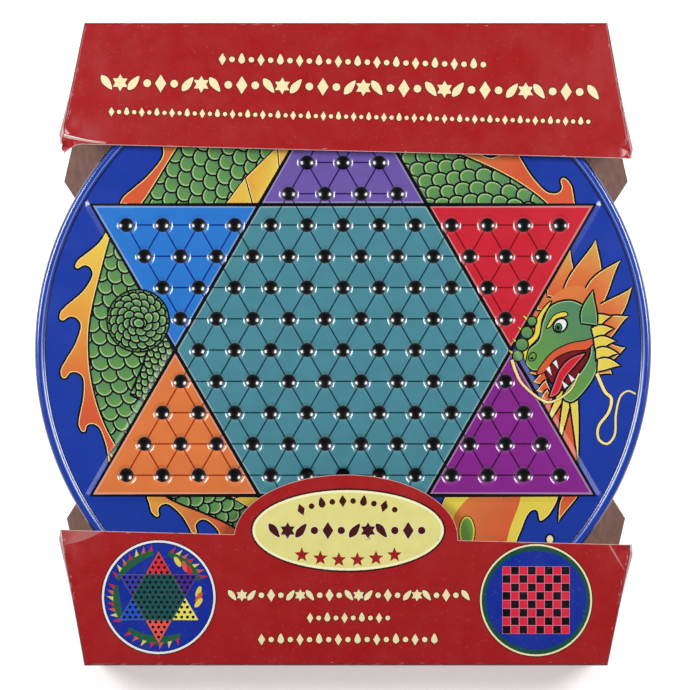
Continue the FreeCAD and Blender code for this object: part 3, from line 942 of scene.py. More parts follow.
def lay_serpent(art):
    """The printed serpent, in the order in which its parts cover one another."""
    fire = (ORANGE, AMBER, YELLOW)
    ember = (ORANGE, ORANGE, MANE[1])
    # Left: an upright bow of the body, a fin along its outer side, and the curled tail by the star's notch.
    bow = line_through([(-106, 62), (-111, 38), (-114, 14), (-113, -12), (-108, -36), (-99, -58)])
    lay_body(art, bow, lambda t: 12.5 + 4.0 * sin(pi * t), 7.4, seed=3)
    edge = line_through([(-118, 62), (-124, 40), (-130, 12), (-129, -14), (-122, -38), (-108, -62)])
    lay_fringe(art, edge, 16.0, 5, gradient(fire, (-126, -26), (-126, 66)), side=-1)
    thigh = line_through([(-88, 26), (-90, 8), (-94, -8), (-103, -26)])
    lay_body(art, thigh, lambda t: 11 - 4 * t, 3.8, seed=5)
    # Upper left and upper right: two humps that pass behind the star's top point.
    hump = line_through([(-3, 124), (-26, 121), (-50, 104), (-71, 78), (-87, 54)])
    lay_body(art, hump, lambda t: 27.0 * min(1.0, 0.28 + 2.4 * t), 7.6, belly=1, seed=7, plate=(2.2, 2.9))
    edge = line_through([(-70, 126), (-87, 100), (-102, 76), (-111, 66)])
    lay_fringe(art, edge, 15.0, 2, gradient(ember, (-118, 72), (-80, 112)), side=-1)
    hump = line_through([(104, 44), (76, 72), (52, 84), (4, 106)])
    lay_body(art, hump, lambda t: 22.0, 7.6, seed=9)
    edge = line_through([(123, 54), (105.7, 73.5), (92.4, 84), (78.4, 92), (60, 100), (40, 107)])
    lay_fringe(art, edge, 17.0, 3, gradient(ember, (116, 72), (66, 112)), side=-1)
    art.lay([(100, 30), (136, 30), (136, 70), (100, 70)], FIELD_BLUE)  # the fin ends at the star's edge
    # Lower left: the tail's thick part, half under the badge.
    tail = line_through([(-112, -44), (-86, -65), (-68, -73), (-51, -81), (-30, -96), (-14, -112)])
    ink = gradient((AMBER, MANE[1], ORANGE), (-98, -76), (-62, -96))
    lay_fringe(art, offset(tail, lambda t: -10.5), 12.5, 6, ink, side=-1)
    lay_body(art, tail, lambda t: 11, 6.2, belly=1, seed=11, plate=(1.5, 2.4))
    # Right and lower right: a ribbed fin that hangs from the head, and a broad flame.
    lay_fan(art, (117, -12), ((-134, 26), (-117, 36), (-101, 44), (-86, 49)), (ORANGE, ORANGE))
    lay_flame_sheet(art)
    lay_head(art)


def lid_artwork():
    """The star board's print, with edges where the tin bends and openings for the dimples' black bottoms."""
    art = Artwork()
    art.limit = art.lay(oval(0, 0, field_radius(LID_WALL), steps=TURNS), FIELD_BLUE)
    lay_serpent(art)
    for outline in ramp_outlines((0, 0.1, 0.2, 0.5, 0.8, 0.9, 1)):
        art.lay(outline)
    lay_star(art)
    lay_coil(art, (-105, 15), 16.0, 4.0)
    lay_claw(art)
    lay_whisker(art, [(86.5, -5), (88.5, -11), (92, -17.5), (100.5, -24.8), (107, -26.5), (116, -21),
                      (121, -12)], 1.6)
    for x, y in HOLES:
        for radius in LIP_RINGS:
            art.lay(oval(x, y, radius, steps=DIMPLE_STEPS))
        art.lay(oval(x, y, DOT_RADIUS, steps=DIMPLE_STEPS), CUT)
    return art


# ---- Tin shells --------------------------------------------------------------------------------
def arc(centre, radius, start, end, colour, steps=6):
    """Profile points round an arc, from one angle to another in degrees."""
    stops = [radians(start + (end - start) * k / steps) for k in range(steps + 1)]
    return [(centre[0] + radius * cos(a), centre[1] + radius * sin(a), colour) for a in stops]


def field_radius(wall):
    """Where a shell's rim starts to rise out of its flat field."""
    return wall - SHOULDER - RIM_LAND - RIM_SLOPE


def rim_profile(wall, under=0.0):
    """From the field up to the top of the rim, in height below that top."""
    points = []
    for k in range(9):
        t = k / 8
        # Painted shade low on the slope, in the groove, and a painted highlight near its top.
        ink = GROOVE_SHADE_BLUE if 0.1 < t < 0.55 else RIM_HIGHLIGHT_BLUE if t > 0.8 else RIM_BLUE
        points.append((field_radius(wall) + RIM_SLOPE * t, -RIM_RISE * (1 - smooth(t)) - under, ink))
    return points


def line_tin(skin, wall, start, edges, height, holes=()):
    """The bare inside of a shell, from its lower edge to its middle. Its sheet bends along edges."""
    inner = start + arc((wall - SHOULDER, -SHOULDER), SHOULDER - SHEET, 0, 90, BARE_TIN)
    sweep(skin, inner + rim_profile(wall, SHEET)[::-1], TURNS, slot=1)
    back = Artwork()
    back.lay(oval(0, 0, field_radius(wall), steps=TURNS), BARE_TIN)
    for edge in edges:
        back.lay(edge)
    for x, y in holes:
        back.lay(oval(x, y, LIP_EDGE, steps=PLAIN_STEPS), CUT)
    spread(skin, back, lambda x, y: height(x, y) - SHEET, up=-1, slot=1, plain=BARE_TIN)


def make_lid():
    """The upper shell: print outside, bare tin inside."""
    skin = Skin(lambda p: Vector((p[0], p[1], p[2] + LID_HIGH.z)))
    spread(skin, lid_artwork(), printed_height)
    level = STAR_STEP - RIM_RISE
    press_dimples(skin, level, DOT_RINGS, DIMPLE_STEPS, 1, 0, BLACK)
    bottom = LID_LOW.z - LID_HIGH.z
    shoulder = (LID_WALL - SHOULDER, -SHOULDER)
    profile = rim_profile(LID_WALL)
    # The outer part of the shoulder (36 to 0 degrees) and the hem below carry painted shade.
    profile += arc(shoulder, SHOULDER, 90, 45, RIM_BLUE, 5) + arc(shoulder, SHOULDER, 36, 0, EDGE_SHADE_BLUE, 4)
    profile += [(LID_WALL, bottom + 2.2, RIM_BLUE)]
    profile += arc((LID_WALL, bottom + 0.8), HEM, 80, -80, EDGE_SHADE_BLUE, 8)
    inner_edge = [(LID_WALL - SHEET, bottom, BARE_TIN)]
    sweep(skin, profile + inner_edge, TURNS)
    line_tin(skin, LID_WALL, inner_edge, ramp_outlines((0, 1 / 3, 2 / 3, 1)), lid_height, HOLES)
    press_dimples(skin, level - SHEET, PLAIN_RINGS, PLAIN_STEPS, -1, 1, BARE_TIN)
    skin.hand_over("lid_shell", [tin_print, bare_tin], "lid", "tin_lid")


def square_outline(half, centre=(0, 0)):
    return turned([(-half, -half), (half, -half), (half, half), (-half, half)], 0, centre)


def checker_height(x, y):
    """The pressed square under the tin and the field round it, with 0 at the top of the rim."""
    return CHECKER_STEP * (1 - smooth((max(abs(x), abs(y)) - CHECKER_HALF) / CHECKER_RUN)) - RIM_RISE


def lay_checkerboard(art, centre, square, margin, line, gap=CREAM, light=RED_INK):
    """Eight by eight squares, with the dark square at the near left as the game is played."""
    if margin:
        art.lay(square_outline(4 * square + margin, centre), BLACK)
    art.lay(square_outline(4 * square + margin * 0.6, centre), gap)
    for row in range(8):
        for column in range(8):
            ink = BLACK if (row + column) % 2 == 0 else light
            middle = (centre[0] + (column - 3.5) * square, centre[1] + (row - 3.5) * square)
            art.lay(square_outline(square / 2 - line / 2, middle), ink)


def lay_discs(art, centre, discs, steps=64):
    """Round or oval discs, one over another. Each is its two half widths and its ink."""
    for half_x, half_y, ink in discs:
        art.lay(oval(*centre, half_x, half_y, steps), ink)


def base_artwork():
    """The checkers board under the tin, with a row of stars along each of its sides."""
    art = Artwork()
    bands = ((field_radius(BASE_WALL), FIELD_BLUE), (149.5, srgb(24, 84, 66)), (145.5, CREAM),
             (144.3, FIELD_BLUE))
    lay_discs(art, (0, 0), [(radius, radius, ink) for radius, ink in bands], TURNS)
    for side in range(4):
        for k in range(-4, 5):
            place = turned([(k * 12.5, 122 - 0.9 * k * k)], side * pi / 2)[0]
            art.shape(turned(six_points(5.0 - 0.5 * abs(k)), side * pi / 2, place), CREAM_RIM, line=0.6)
    for half in CHECKER_EDGES:
        art.lay(square_outline(half))
    lay_checkerboard(art, (0, 0), CHECKER_SQUARE, 3.0, 0.9)
    return art


def make_base():
    """The lower shell, drawn upside down."""
    skin = Skin(lambda p: Vector((p[0], -p[1], BASE_LOW.z - p[2])))
    spread(skin, base_artwork(), checker_height)
    depth = BASE_LOW.z - BASE_HIGH.z
    bead = BASE_LOW.z - LID_LOW.z + 0.2
    profile = rim_profile(BASE_WALL) + arc((BASE_WALL - SHOULDER, -SHOULDER), SHOULDER, 90, 0, RIM_BLUE, 10)
    profile += arc((BASE_WALL, bead + 1.0), HEM, 80, -80, FIELD_BLUE, 8)
    profile += [(BASE_WALL, depth + 1.0, FIELD_BLUE)]
    profile += arc((BASE_WALL - HEM, depth + HEM), HEM, 0, -180, BARE_TIN, 8)
    hem_end = [(BASE_WALL - 2 * HEM, depth + 1.8, BARE_TIN)]
    sweep(skin, profile + hem_end, TURNS)
    start = hem_end + [(BASE_WALL - SHEET, depth + 1.8, BARE_TIN)]
    line_tin(skin, BASE_WALL, start, [square_outline(half) for half in CHECKER_EDGES], checker_height)
    skin.hand_over("base_shell", [tin_print, bare_tin], "base", "tin_base")


# ---- Ornaments of the wrap ---------------------------------------------------------------------
def star_points(count, notch, radius):
    """A small star. notch is how far in its notches lie, as a fraction."""
    return [polar(radius * (notch if k % 2 else 1.0), 90 + 180 / count * k) for k in range(2 * count)]


def six_points(radius):
    return star_points(6, 0.58, radius)


def lozenge(half_x, half_y):
    return [(-half_x, 0), (0, -half_y), (half_x, 0), (0, half_y)]


LEAF = through([(-0.95, 0), (-0.2, 0.42), (0.95, 0), (-0.2, -0.42)], steps=4)
BEAD = oval(0, 0, 0.42, steps=10)
DROP = through([(0, 0.95), (-0.5, -0.1), (0, -0.6), (0.5, -0.1)], steps=4)
GRAND_ROW = (LEAF, six_points(0.9), LEAF, BEAD, lozenge(0.6, 0.95), BEAD)
FINE_ROW = (lozenge(0.55, 0.9), BEAD, DROP, BEAD)


def lay_row(art, start, end, height, kinds, ink=CREAM, edge=SHADOW_BROWN, arch=0.0, line=0.8):
    """A row of small ornaments, in place of lettering. arch lifts its middle."""
    length = hypot(end[0] - start[0], end[1] - start[1])
    tilt = atan2(end[1] - start[1], end[0] - start[0])
    count = max(3, round(length / (height * 0.8)))
    for k in range(count):
        t = (k + 0.5) / count
        x, y = between(start, end, t)
        lift = arch * (1 - (2 * t - 1) ** 2)
        lean = tilt - arch * 4 * (2 * t - 1) / length
        kind = kinds[k % len(kinds)]
        if kind is LEAF:
            lean += radians(52 if (k // 2) % 2 else -52)
        outline = turned(kind, lean, (x - sin(tilt) * lift, y + cos(tilt) * lift), height * 0.56)
        if edge:
            art.stroke(outline, line, edge, closed=True)
        art.lay(outline, ink)


def lay_stamp(art, centre, radius, border):
    """A red six-pointed star with a cream border."""
    art.lay(turned(six_points(radius), 0, centre), CREAM)
    art.lay(turned(six_points(radius - border), 0, centre), RED_INK)


def lay_grid(art, low, high, step):
    """Edges that let a flat sheet bend. low and high are corners of the box that they fill."""
    for axis in (0, 1):
        count = max(1, round((high[axis] - low[axis]) / step))
        for k in range(0, count, 2):
            a, b = (low[axis] + (high[axis] - low[axis]) * n / count for n in (k, k + 1))
            if axis == 0:
                art.lay([(a, low[1]), (b, low[1]), (b, high[1]), (a, high[1])])
            else:
                art.lay([(low[0], a), (high[0], a), (high[0], b), (low[0], b)])


def lay_scuffs(art, start, end, count, seed, within, size=1.6):
    """Flecks of pale board where the print has rubbed off along a fold or an edge."""
    chance = random.Random(seed)
    heading = atan2(end[1] - start[1], end[0] - start[0])
    for _ in range(count):
        t, aside = chance.random(), chance.gauss(0, 0.35)
        x, y = between(start, end, t)
        middle = (x - sin(heading) * aside, y + cos(heading) * aside)
        long, thin = chance.uniform(0.3, 1) * size, chance.uniform(0.12, 0.26)
        fleck = oval(*middle, long, thin, 7, heading + chance.gauss(0, 0.12))
        art.lay(fleck, mix(CARD_RED, RAW_CARD, chance.uniform(0.1, 0.45)), within)


def lay_badge(art):
    """The oval on the tab: a cream field in a dark line, with ornaments and six small stars."""
    cx, cy, half_x, half_y = 2.6, -91.9, 48.8, 20.5
    bands = ((1.0, SHADOW_BROWN), (0.0, srgb(252, 248, 200)), (-1.3, BADGE_CREAM))
    lay_discs(art, (cx, cy), [(half_x + more, half_y + more, ink) for more, ink in bands], 72)
    lay_row(art, (-24, -82.4), (29, -82.4), 6.4, FINE_ROW, SHADOW_BROWN, None, arch=5.5)
    lay_row(art, (-38.5, -92), (43.5, -92), 8.4, GRAND_ROW, SHADOW_BROWN, WHITE, line=0.4)
    for k in range(6):
        x = cx + (k - 2.5) * 9.45
        star = turned(star_points(5, 0.4, 3.7), 0, (x, -107.0 + 0.41 * (k - 2.5) ** 2))
        art.stroke(star, 0.5, SHADOW_BROWN, closed=True)
        art.lay(star, CARD_RED)


def lay_star_roundel(art, cx, cy, radius):
    """A small picture of the star board with the serpent curled round it."""
    bands = ((0.5, SHADOW_BROWN), (0.0, WHITE), (-1.1, srgb(8, 26, 110)), (-1.6, ROUNDEL_BLUE))
    lay_discs(art, (cx, cy), [(radius + more, radius + more, ink) for more, ink in bands])
    for first, last, reach in ((96, 158, 22.5), (164, 214, 22.0), (226, 300, 22.0), (22, 78, 22.5)):
        headings = [first + (last - first) * k / 14 for k in range(15)]
        coil = [polar(reach, heading, (cx, cy)) for heading in headings]
        art.stroke(coil, lambda t: 4.6 * sin(pi * (0.12 + 0.76 * t)), srgb(32, 92, 66))
        for k, heading in enumerate(headings[1:14:2]):
            root = polar(reach + 1.2, heading, (cx, cy))
            flame = [polar(far, heading + turn, root) for far, turn in ((1.1, -90), (3.6, -22), (1.1, 90))]
            art.lay(flame, (RED_INK, ORANGE, YELLOW)[k % 3])
    for heading, ink in ((62, YELLOW), (50, ORANGE), (40, RED_INK), (8, YELLOW), (0, ORANGE), (-8, YELLOW)):
        art.lay(oval(*polar(20.5, heading, (cx, cy)), 3.0, 1.3, 10, radians(heading + 60)), ink)
    inks = (srgb(214, 44, 62), srgb(58, 58, 164), srgb(30, 82, 196), srgb(236, 86, 78), srgb(238, 226, 104),
            srgb(70, 36, 140))
    lay_star(art, (cx, cy), 23.6 / STAR_TIP, 0.35, True, inks, srgb(22, 82, 84))


def lay_checker_roundel(art, cx, cy, radius):
    """A small picture of the board on the tin's other side."""
    bands = ((0.5, SHADOW_BROWN), (0.0, CREAM), (-0.9, srgb(18, 78, 62)))
    lay_discs(art, (cx, cy), [(radius + more, radius + more, ink) for more, ink in bands])
    lay_discs(art, (cx, cy), [(radius - 2.8, radius - 3.3, srgb(16, 46, 152))])
    lay_checkerboard(art, (cx, cy), 4.3, 0.0, 0.35, srgb(226, 120, 150), srgb(222, 36, 66))


# ---- Wrap of printed card ----------------------------------------------------------------------
CARD = 0.8
FOLD = 1.3  # radius of a fold
SAG = 0.22  # how far the middle height of a cap's front lies below its highest place
FLARE = 2.4  # how far a gusset springs out past the corner of its front panel
FLARE_DROP = 8.0
SETBACK = 7.0  # a gusset's free end behind the front panel's free edge
FREE_SKEW = 3.8
TAB_HALF = 57.0
TAB_RISE = 32.0
CARD_TOP = TOP_FRONT_HIGH.z
PANEL_SHOULDER = 88.0  # how far from the middle the back panel is widest
WAIST_HALF = 106
WAIST_RUN = 24  # half the length of the back panel's waist


def edge_strip(skin, outline, height):
    """The cut edge of a card between its printed and its plain side."""
    for a, b in zip(outline, outline[1:] + outline[:1]):
        za, zb = height(*a), height(*b)
        points = [(*a, za), (*b, zb), (*b, zb - CARD), (*a, za - CARD)]
        out = Vector((b[1] - a[1], a[0] - b[0], 0)).normalized()
        skin.face(points, [RAW_CARD] * 4, [out] * 4, slot=2, layer=2)


def card_panel(name, node, body, art, outline, height, place=None, extra=None):
    """One flat panel: print outside, plain board inside and a cut edge all round. extra adds more to it."""
    skin = Skin(place)
    spread(skin, art, height)
    inside = Artwork()
    inside.lay(outline, BROWN_BOARD)
    lay_grid(inside, *box_round(outline), 9.0)
    spread(skin, inside, lambda x, y: height(x, y) - CARD, up=-1, slot=1, plain=BROWN_BOARD)
    edge_strip(skin, outline, height)
    if extra:
        extra(skin)
    skin.hand_over(name, [card_print, board_inside, cut_edge], body, node)


def crush(x, y, corner, reach, depth):
    """A crumpled corner: creases that fan out from it and fade."""
    distance = hypot(x - corner[0], y - corner[1])
    if distance > reach:
        return 0.0
    heading = atan2(y - corner[1], x - corner[0])
    folds = 0.5 + 0.5 * sin(heading * 9 + distance * 0.35)
    return depth * (1 - distance / reach) ** 1.3 * (0.45 + 0.55 * folds)


def tab_outline(free_y, free_half):
    """The round tab of the bottom cap, from one end of its arch to the other."""
    lean = atan2(-TAB_HALF * FREE_SKEW / free_half, TAB_RISE)
    stops = [lean + pi * k / 60 for k in range(61)]
    return [(WRAP_X + TAB_HALF * cos(t), -free_y + TAB_RISE * sin(t)) for t in stops]


def make_cap(name, spine_y, free_y, turn, crumples, draw, tip=()):
    """One end cap. turn is 1 at the top and -1 at the bottom. Corners run anticlockwise from the free edge.

    Each crumple is a corner, its reach and its depth. tip is a bent point that sticks out of the free edge.
    """
    free_half = FREE_HALF - FLARE
    tops = [(-free_half, free_y + FREE_SKEW), (free_half, free_y - FREE_SKEW), (SPINE_HALF, spine_y),
            (-SPINE_HALF, spine_y)]
    corners = [(WRAP_X + x * turn, y * turn) for x, y in tops]

    def height(x, y):
        sag = SAG + SAG * noise.noise(Vector((x / 34, y / 26, turn)))
        return CARD_TOP - sag - sum(crush(x, y, *crumple) for crumple in crumples)

    flat = inset(corners, [0, FOLD, FOLD, FOLD])
    free_path = divided(flat[0], flat[1], 5.0) + [flat[1]]
    if tip:
        free_path = free_path[:1] + list(tip) + [p for p in free_path[1:] if p[0] > tip[-1][0] + 1]
    if turn < 0:
        right = [p for p in free_path if p[0] > WRAP_X + TAB_HALF + 1]
        left = [p for p in free_path if p[0] < WRAP_X - TAB_HALF - 1]
        free_path = right + tab_outline(free_y, free_half) + left
    outline = free_path[:-1]
    for k in (1, 2, 3):
        outline += divided(flat[k], flat[(k + 1) % 4], 3.0)
    art = Artwork()
    sheet = art.limit = art.lay(outline, CARD_RED)
    lay_grid(art, *box_round(outline), 6.0)
    draw(art)
    art.stroke(offset(free_path, 0.12), 0.3, mix(CARD_RED, RAW_CARD, 0.65), within=sheet)
    for k in range(4):
        lay_scuffs(art, flat[k], flat[(k + 1) % 4], 14, 40 * turn + k, sheet)
    for (x, y), _, _ in crumples:
        lay_scuffs(art, (x - turn * 2, y), (x + turn * 2, y + 3), 10, 90, sheet, 2.4)

    def folds(skin):
        """The rounded folds down to the spine and the gussets, darker outwards with painted shade and with
        patches of wear.
        """
        steps = 6
        rings = []
        for n in range(steps + 1):
            angle = radians(90 * n / steps)
            ring = inset(corners, [0] + [FOLD * (1 - sin(angle))] * 3)
            path = [p for k in (1, 2, 3) for p in divided(ring[k], ring[(k + 1) % 4], 3.0)] + [ring[0]]
            rings.append([(x, y, height(x, y) - FOLD * (1 - cos(angle))) for x, y in path])
        for n, (upper, lower) in enumerate(zip(rings, rings[1:])):
            for k in range(len(upper) - 1):
                x, y, _ = upper[k]
                patch = noise.noise(Vector((x / 3.1, y / 3.1, 7.7)))
                wear = smooth((patch - 0.22) * 3) * (1 - abs(n - 2.5) / 4)
                # Painted shade: SHADOW_BROWN darkens the fold's outer rings; the RAW_CARD patches are wear.
                ink = mix(mix(CARD_RED, SHADOW_BROWN, min(0.9, 0.35 * n)), RAW_CARD, 0.2 * wear)
                fold_face(skin, [upper[k], lower[k], lower[k + 1], upper[k + 1]], ink, Vector((x, y, 60)))

    card_panel(f"{name}_front_card", f"{name}_front", name, art, outline, height, extra=folds)
    make_spine(name, spine_y, turn)
    for side, k in (("right", 1), ("left", 3)) if turn > 0 else (("left", 1), ("right", 3)):
        make_gusset(name, side, corners, k, turn)


def fold_face(skin, quad, ink, out):
    """One flat face of a fold, turned to the side that out points to."""
    a, b, d = Vector(quad[0]), Vector(quad[1]), Vector(quad[3])
    normal = (b - a).cross(d - a)
    if normal.dot(out) < 0:
        normal = -normal
    skin.face(quad, [ink] * 4, [normal] * 4, 0, layer=3)


def make_spine(name, spine_y, turn):
    """The upright panel along the cap's outer edge, drawn as seen from outside."""
    half, top = SPINE_HALF, CARD_TOP - FOLD - SAG
    corners = [(-half, 0.0), (half, 0.0), (half, top), (-half, top)]
    outline = divided_outline(corners, 4.0)
    art = Artwork()
    sheet = art.limit = art.lay(outline, CARD_RED)
    lay_grid(art, (-half, 0), (half, top), 7.0)
    lay_row(art, (-96, top / 2), (96, top / 2), 8.0, GRAND_ROW)
    for y in (top / 2 - 8.5, top / 2 + 8.5):
        art.stroke([(-100, y), (100, y)], 0.7, CREAM)
    for x in (-112, 112):
        lay_stamp(art, (x, top / 2), 7.5, 1.3)
    for k in (0, 1, 3):
        lay_scuffs(art, corners[k], corners[(k + 1) % 4], 18, 11 * turn + k, sheet)

    def height(s, z):
        rise = smooth(z / 6) * smooth((top - z) / 6)
        return -0.35 * rise * (1 + noise.noise(Vector((s / 30, z / 20, 3 * turn))))

    def place(point):
        s, z, h = point
        return Vector((WRAP_X - s * turn, (spine_y + h) * turn, z))

    card_panel(f"{name}_spine_card", f"{name}_spine", name, art, outline, height, place)


def make_gusset(name, side, corners, k, turn):
    """A side panel along edge k of the cap's corners. Its free end springs out below the front panel."""
    start, end = corners[k], corners[(k + 1) % 4]
    free, spine = (start, end) if k == 1 else (end, start)
    shift = FLARE if free[0] > WRAP_X else -FLARE
    free = (free[0] + shift, free[1])
    length = hypot(spine[0] - free[0], spine[1] - free[1])
    ux, uy = (spine[0] - free[0]) / length, (spine[1] - free[1]) / length
    nx, ny = (uy, -ux) if uy * shift > 0 else (-uy, ux)
    low, top = 1.1, CARD_TOP - FOLD - SAG
    back = [(SETBACK, low), (length - CARD, low), (length - CARD, top), (0.6, top),
            (SETBACK, top - FLARE_DROP)]
    outline = divided_outline(back, 3.0)
    art = Artwork()
    sheet = art.limit = art.lay(outline, CARD_RED)
    lay_grid(art, (0, low), (length, top), 3.5)
    lay_stamp(art, (length * 0.56, top / 2), 8.0, 1.4)
    for n in range(5):
        lay_scuffs(art, back[n], back[(n + 1) % 5], 9, 7 * turn + n, sheet)

    def height(s, z):
        spring = FLARE * (1 - s / length) * smooth((z - (top - FLARE_DROP)) / FLARE_DROP)
        return -spring - 0.25 * smooth(s / 20) * (1 + noise.noise(Vector((s / 17, z / 15, k + turn))))

    def place(point):
        s, z, h = point
        return Vector((free[0] + ux * s + nx * h, free[1] + uy * s + ny * h, z))

    card_panel(f"{name}_{side}_gusset_card", f"{name}_{side}_gusset", name, art, outline, height, place)


def draw_top(art):
    """The top cap's print: a painted highlight along the crease at its bent corner, and three rows of
    ornaments.
    """
    # Both pale strokes along this crease are a painted highlight.
    crease = line_through([(-146.0, 110.5), (-139, 108.6), (-130, 106.6), (-121, 105.4)])
    art.stroke(crease, lambda t: 1.9 * (1 - t) + 0.3, mix(CARD_RED, RAW_CARD, 0.55))
    art.stroke(offset(crease, 0.5), lambda t: 0.7 * (1 - t) + 0.15, mix(CARD_RED, WHITE, 0.8))
    lay_row(art, (-64, 148.4), (74, 145.5), 6.2, FINE_ROW)
    lay_row(art, (-124, 136.6), (131, 131.4), 8.6, GRAND_ROW)
    lay_row(art, (-120, 121.6), (127, 116.4), 4.8, FINE_ROW)


def draw_bottom(art):
    """The bottom cap's print: a painted highlight on its bent left corner, a pale line along a crease at its
    right corner, the badge, two roundels and rows of ornaments.
    """
    # The pale gradient patch on the bent corner is a painted highlight.
    bent = through([(-150, -90), (-148, -99.4), (-140, -99), (-132, -96.8), (-125, -93.6), (-120, -90)])
    art.lay(bent, gradient((CARD_RED, mix(CARD_RED, RAW_CARD, 0.2)), (-146, -93), (-136, -98)))
    crease = line_through([(135, -97.6), (138, -103), (144, -113)])
    art.stroke(crease, lambda t: 0.9 * sin(pi * (0.1 + 0.85 * t)), mix(CARD_RED, RAW_CARD, 0.3))
    lay_badge(art)
    lay_star_roundel(art, -94.0, -126.0, 29.0)
    lay_checker_roundel(art, 98.4, -127.5, 28.6)
    lay_row(art, (-59, -125), (65, -125), 6.2, GRAND_ROW)
    lay_row(art, (-19, -136.6), (25, -136.6), 5.4, FINE_ROW)
    lay_row(art, (-44, -147.6), (49, -147.6), 6.0, FINE_ROW)


def panel_corners():
    """The corners of the waisted sheet behind the tin, about the wrap's middle line."""
    low, high = node_box("card_back_panel")
    end_half = SPINE_HALF - 4.0
    lean = (FREE_HALF - SPINE_HALF) / (TOP_SPINE_HIGH.y - TOP_FRONT_LOW.y - FREE_SKEW)
    right = [(end_half, low.y), (end_half + lean * (-PANEL_SHOULDER - low.y), -PANEL_SHOULDER),
             (WAIST_HALF, -WAIST_RUN), (WAIST_HALF, WAIST_RUN),
             (end_half + lean * (high.y - PANEL_SHOULDER), PANEL_SHOULDER), (end_half, high.y)]
    return right + [(-x, y) for x, y in reversed(right)]


def make_back_panel():
    """The sheet behind the tin, plain board towards the tin and print underneath."""
    low, high = node_box("card_back_panel")
    corners = panel_corners()
    outline = divided_outline(corners, 6.0)
    art = Artwork()
    sheet = art.limit = art.lay(outline, CARD_RED)
    lay_grid(art, (-142, low.y), (142, high.y), 12.0)
    for margin, width in ((8.0, 1.6), (11.0, 0.6)):
        art.stroke(inset(corners, margin), width, CREAM, closed=True, within=sheet)
    for y in (104, -104):
        lay_row(art, (-86, y), (86, y), 9.0, GRAND_ROW)
    lay_discs(art, (0, 0), ((62, 62, CREAM), (59.5, 59.5, ROUNDEL_BLUE)), 72)
    lay_star(art, (0, 0), 52 / STAR_TIP, 0.6, True)

    def place(point):
        x, y, h = point
        return Vector((WRAP_X + x, -y, low.z - h))

    below = [(x, -y) for x, y in outline][::-1]
    card_panel("back_card", "card_back_panel", "base", art.flipped(), below, lambda x, y: 0.0, place)


# ---- Contents ----------------------------------------------------------------------------------
BALL_INKS = {
    "violet": srgb(96, 70, 160), "blue": srgb(30, 96, 200), "red": srgb(196, 28, 42),
    "orange": srgb(226, 112, 40), "magenta": srgb(156, 34, 120), "yellow": srgb(236, 196, 44),
}


def make_balls(colour, ink):
    """Ten moulded balls, with the faint ridge where the mould's halves met."""
    low, high = node_box(f"balls_{colour}")
    radius = (high.z - low.z) / 2
    pitch = (high.x - low.x - 2 * radius) / 9
    profile = []
    for n in range(25):
        angle = radians(90 - 7.5 * n)
        reach = radius - (0.0 if n == 12 else 0.04)
        profile.append((reach * cos(angle), reach * sin(angle), ink))
    skin = Skin()
    for k in range(10):
        centre = (low.x + radius + k * pitch, (low.y + high.y) / 2, low.z + radius)
        sweep(skin, profile, 32, centre=centre)
    skin.hand_over(f"{colour}_balls", [ball_plastic], "base", f"balls_{colour}")


def make_checkers(colour, ink):
    """Twelve checkers in stacks of three, with ring grooves and a milled edge."""
    low, high = node_box(f"checkers_{colour}")
    radius, tall, step = 11.0, 5.0, 5.1
    pitch = (high.x - low.x - 2 * radius) / 3
    half = [(0, 2.5), (3.5, 2.5), (3.9, 2.35), (4.1, 1.82), (4.5, 1.8), (5.2, 1.8), (5.5, 2.05), (5.8, 1.8),
            (6.9, 1.8), (7.2, 2.05), (7.5, 1.8), (8.5, 1.8), (8.7, 2.35), (9.0, 2.48), (9.6, 2.5),
            (10.5, 2.45), (10.8, 2.3), (11.0, 1.9)]
    profile = [(r, z, ink) for r, z in half] + [(r, -z, ink) for r, z in reversed(half)]

    def milled(r, angle):
        return r - (0.16 * (1 + sin(angle * 48)) if r > 10.9 else 0.0)

    skin = Skin()
    for column in range(4):
        for level in range(3):
            centre = (low.x + radius + column * pitch, (low.y + high.y) / 2, low.z + tall / 2 + level * step)
            sweep(skin, profile, 96, centre=centre, warp=milled)
    skin.hand_over(f"{colour}_checkers", [checker_plastic], "base", f"checkers_{colour}")


def rod(skin, path, radius, ink, sides=4):
    """A thin strand of straight pieces along a path."""
    for a, b in zip(path, path[1:]):
        axis = (b - a).normalized()
        across = axis.orthogonal().normalized()
        other = axis.cross(across)
        for k in range(sides):
            turns = [tau * n / sides for n in (k, k + 1)]
            ends = [(across * cos(angle) + other * sin(angle)) * radius for angle in turns]
            quad = [a + ends[0], a + ends[1], b + ends[1], b + ends[0]]
            skin.face([tuple(point) for point in quad], [ink] * 4, [ends[0], ends[1], ends[1], ends[0]])


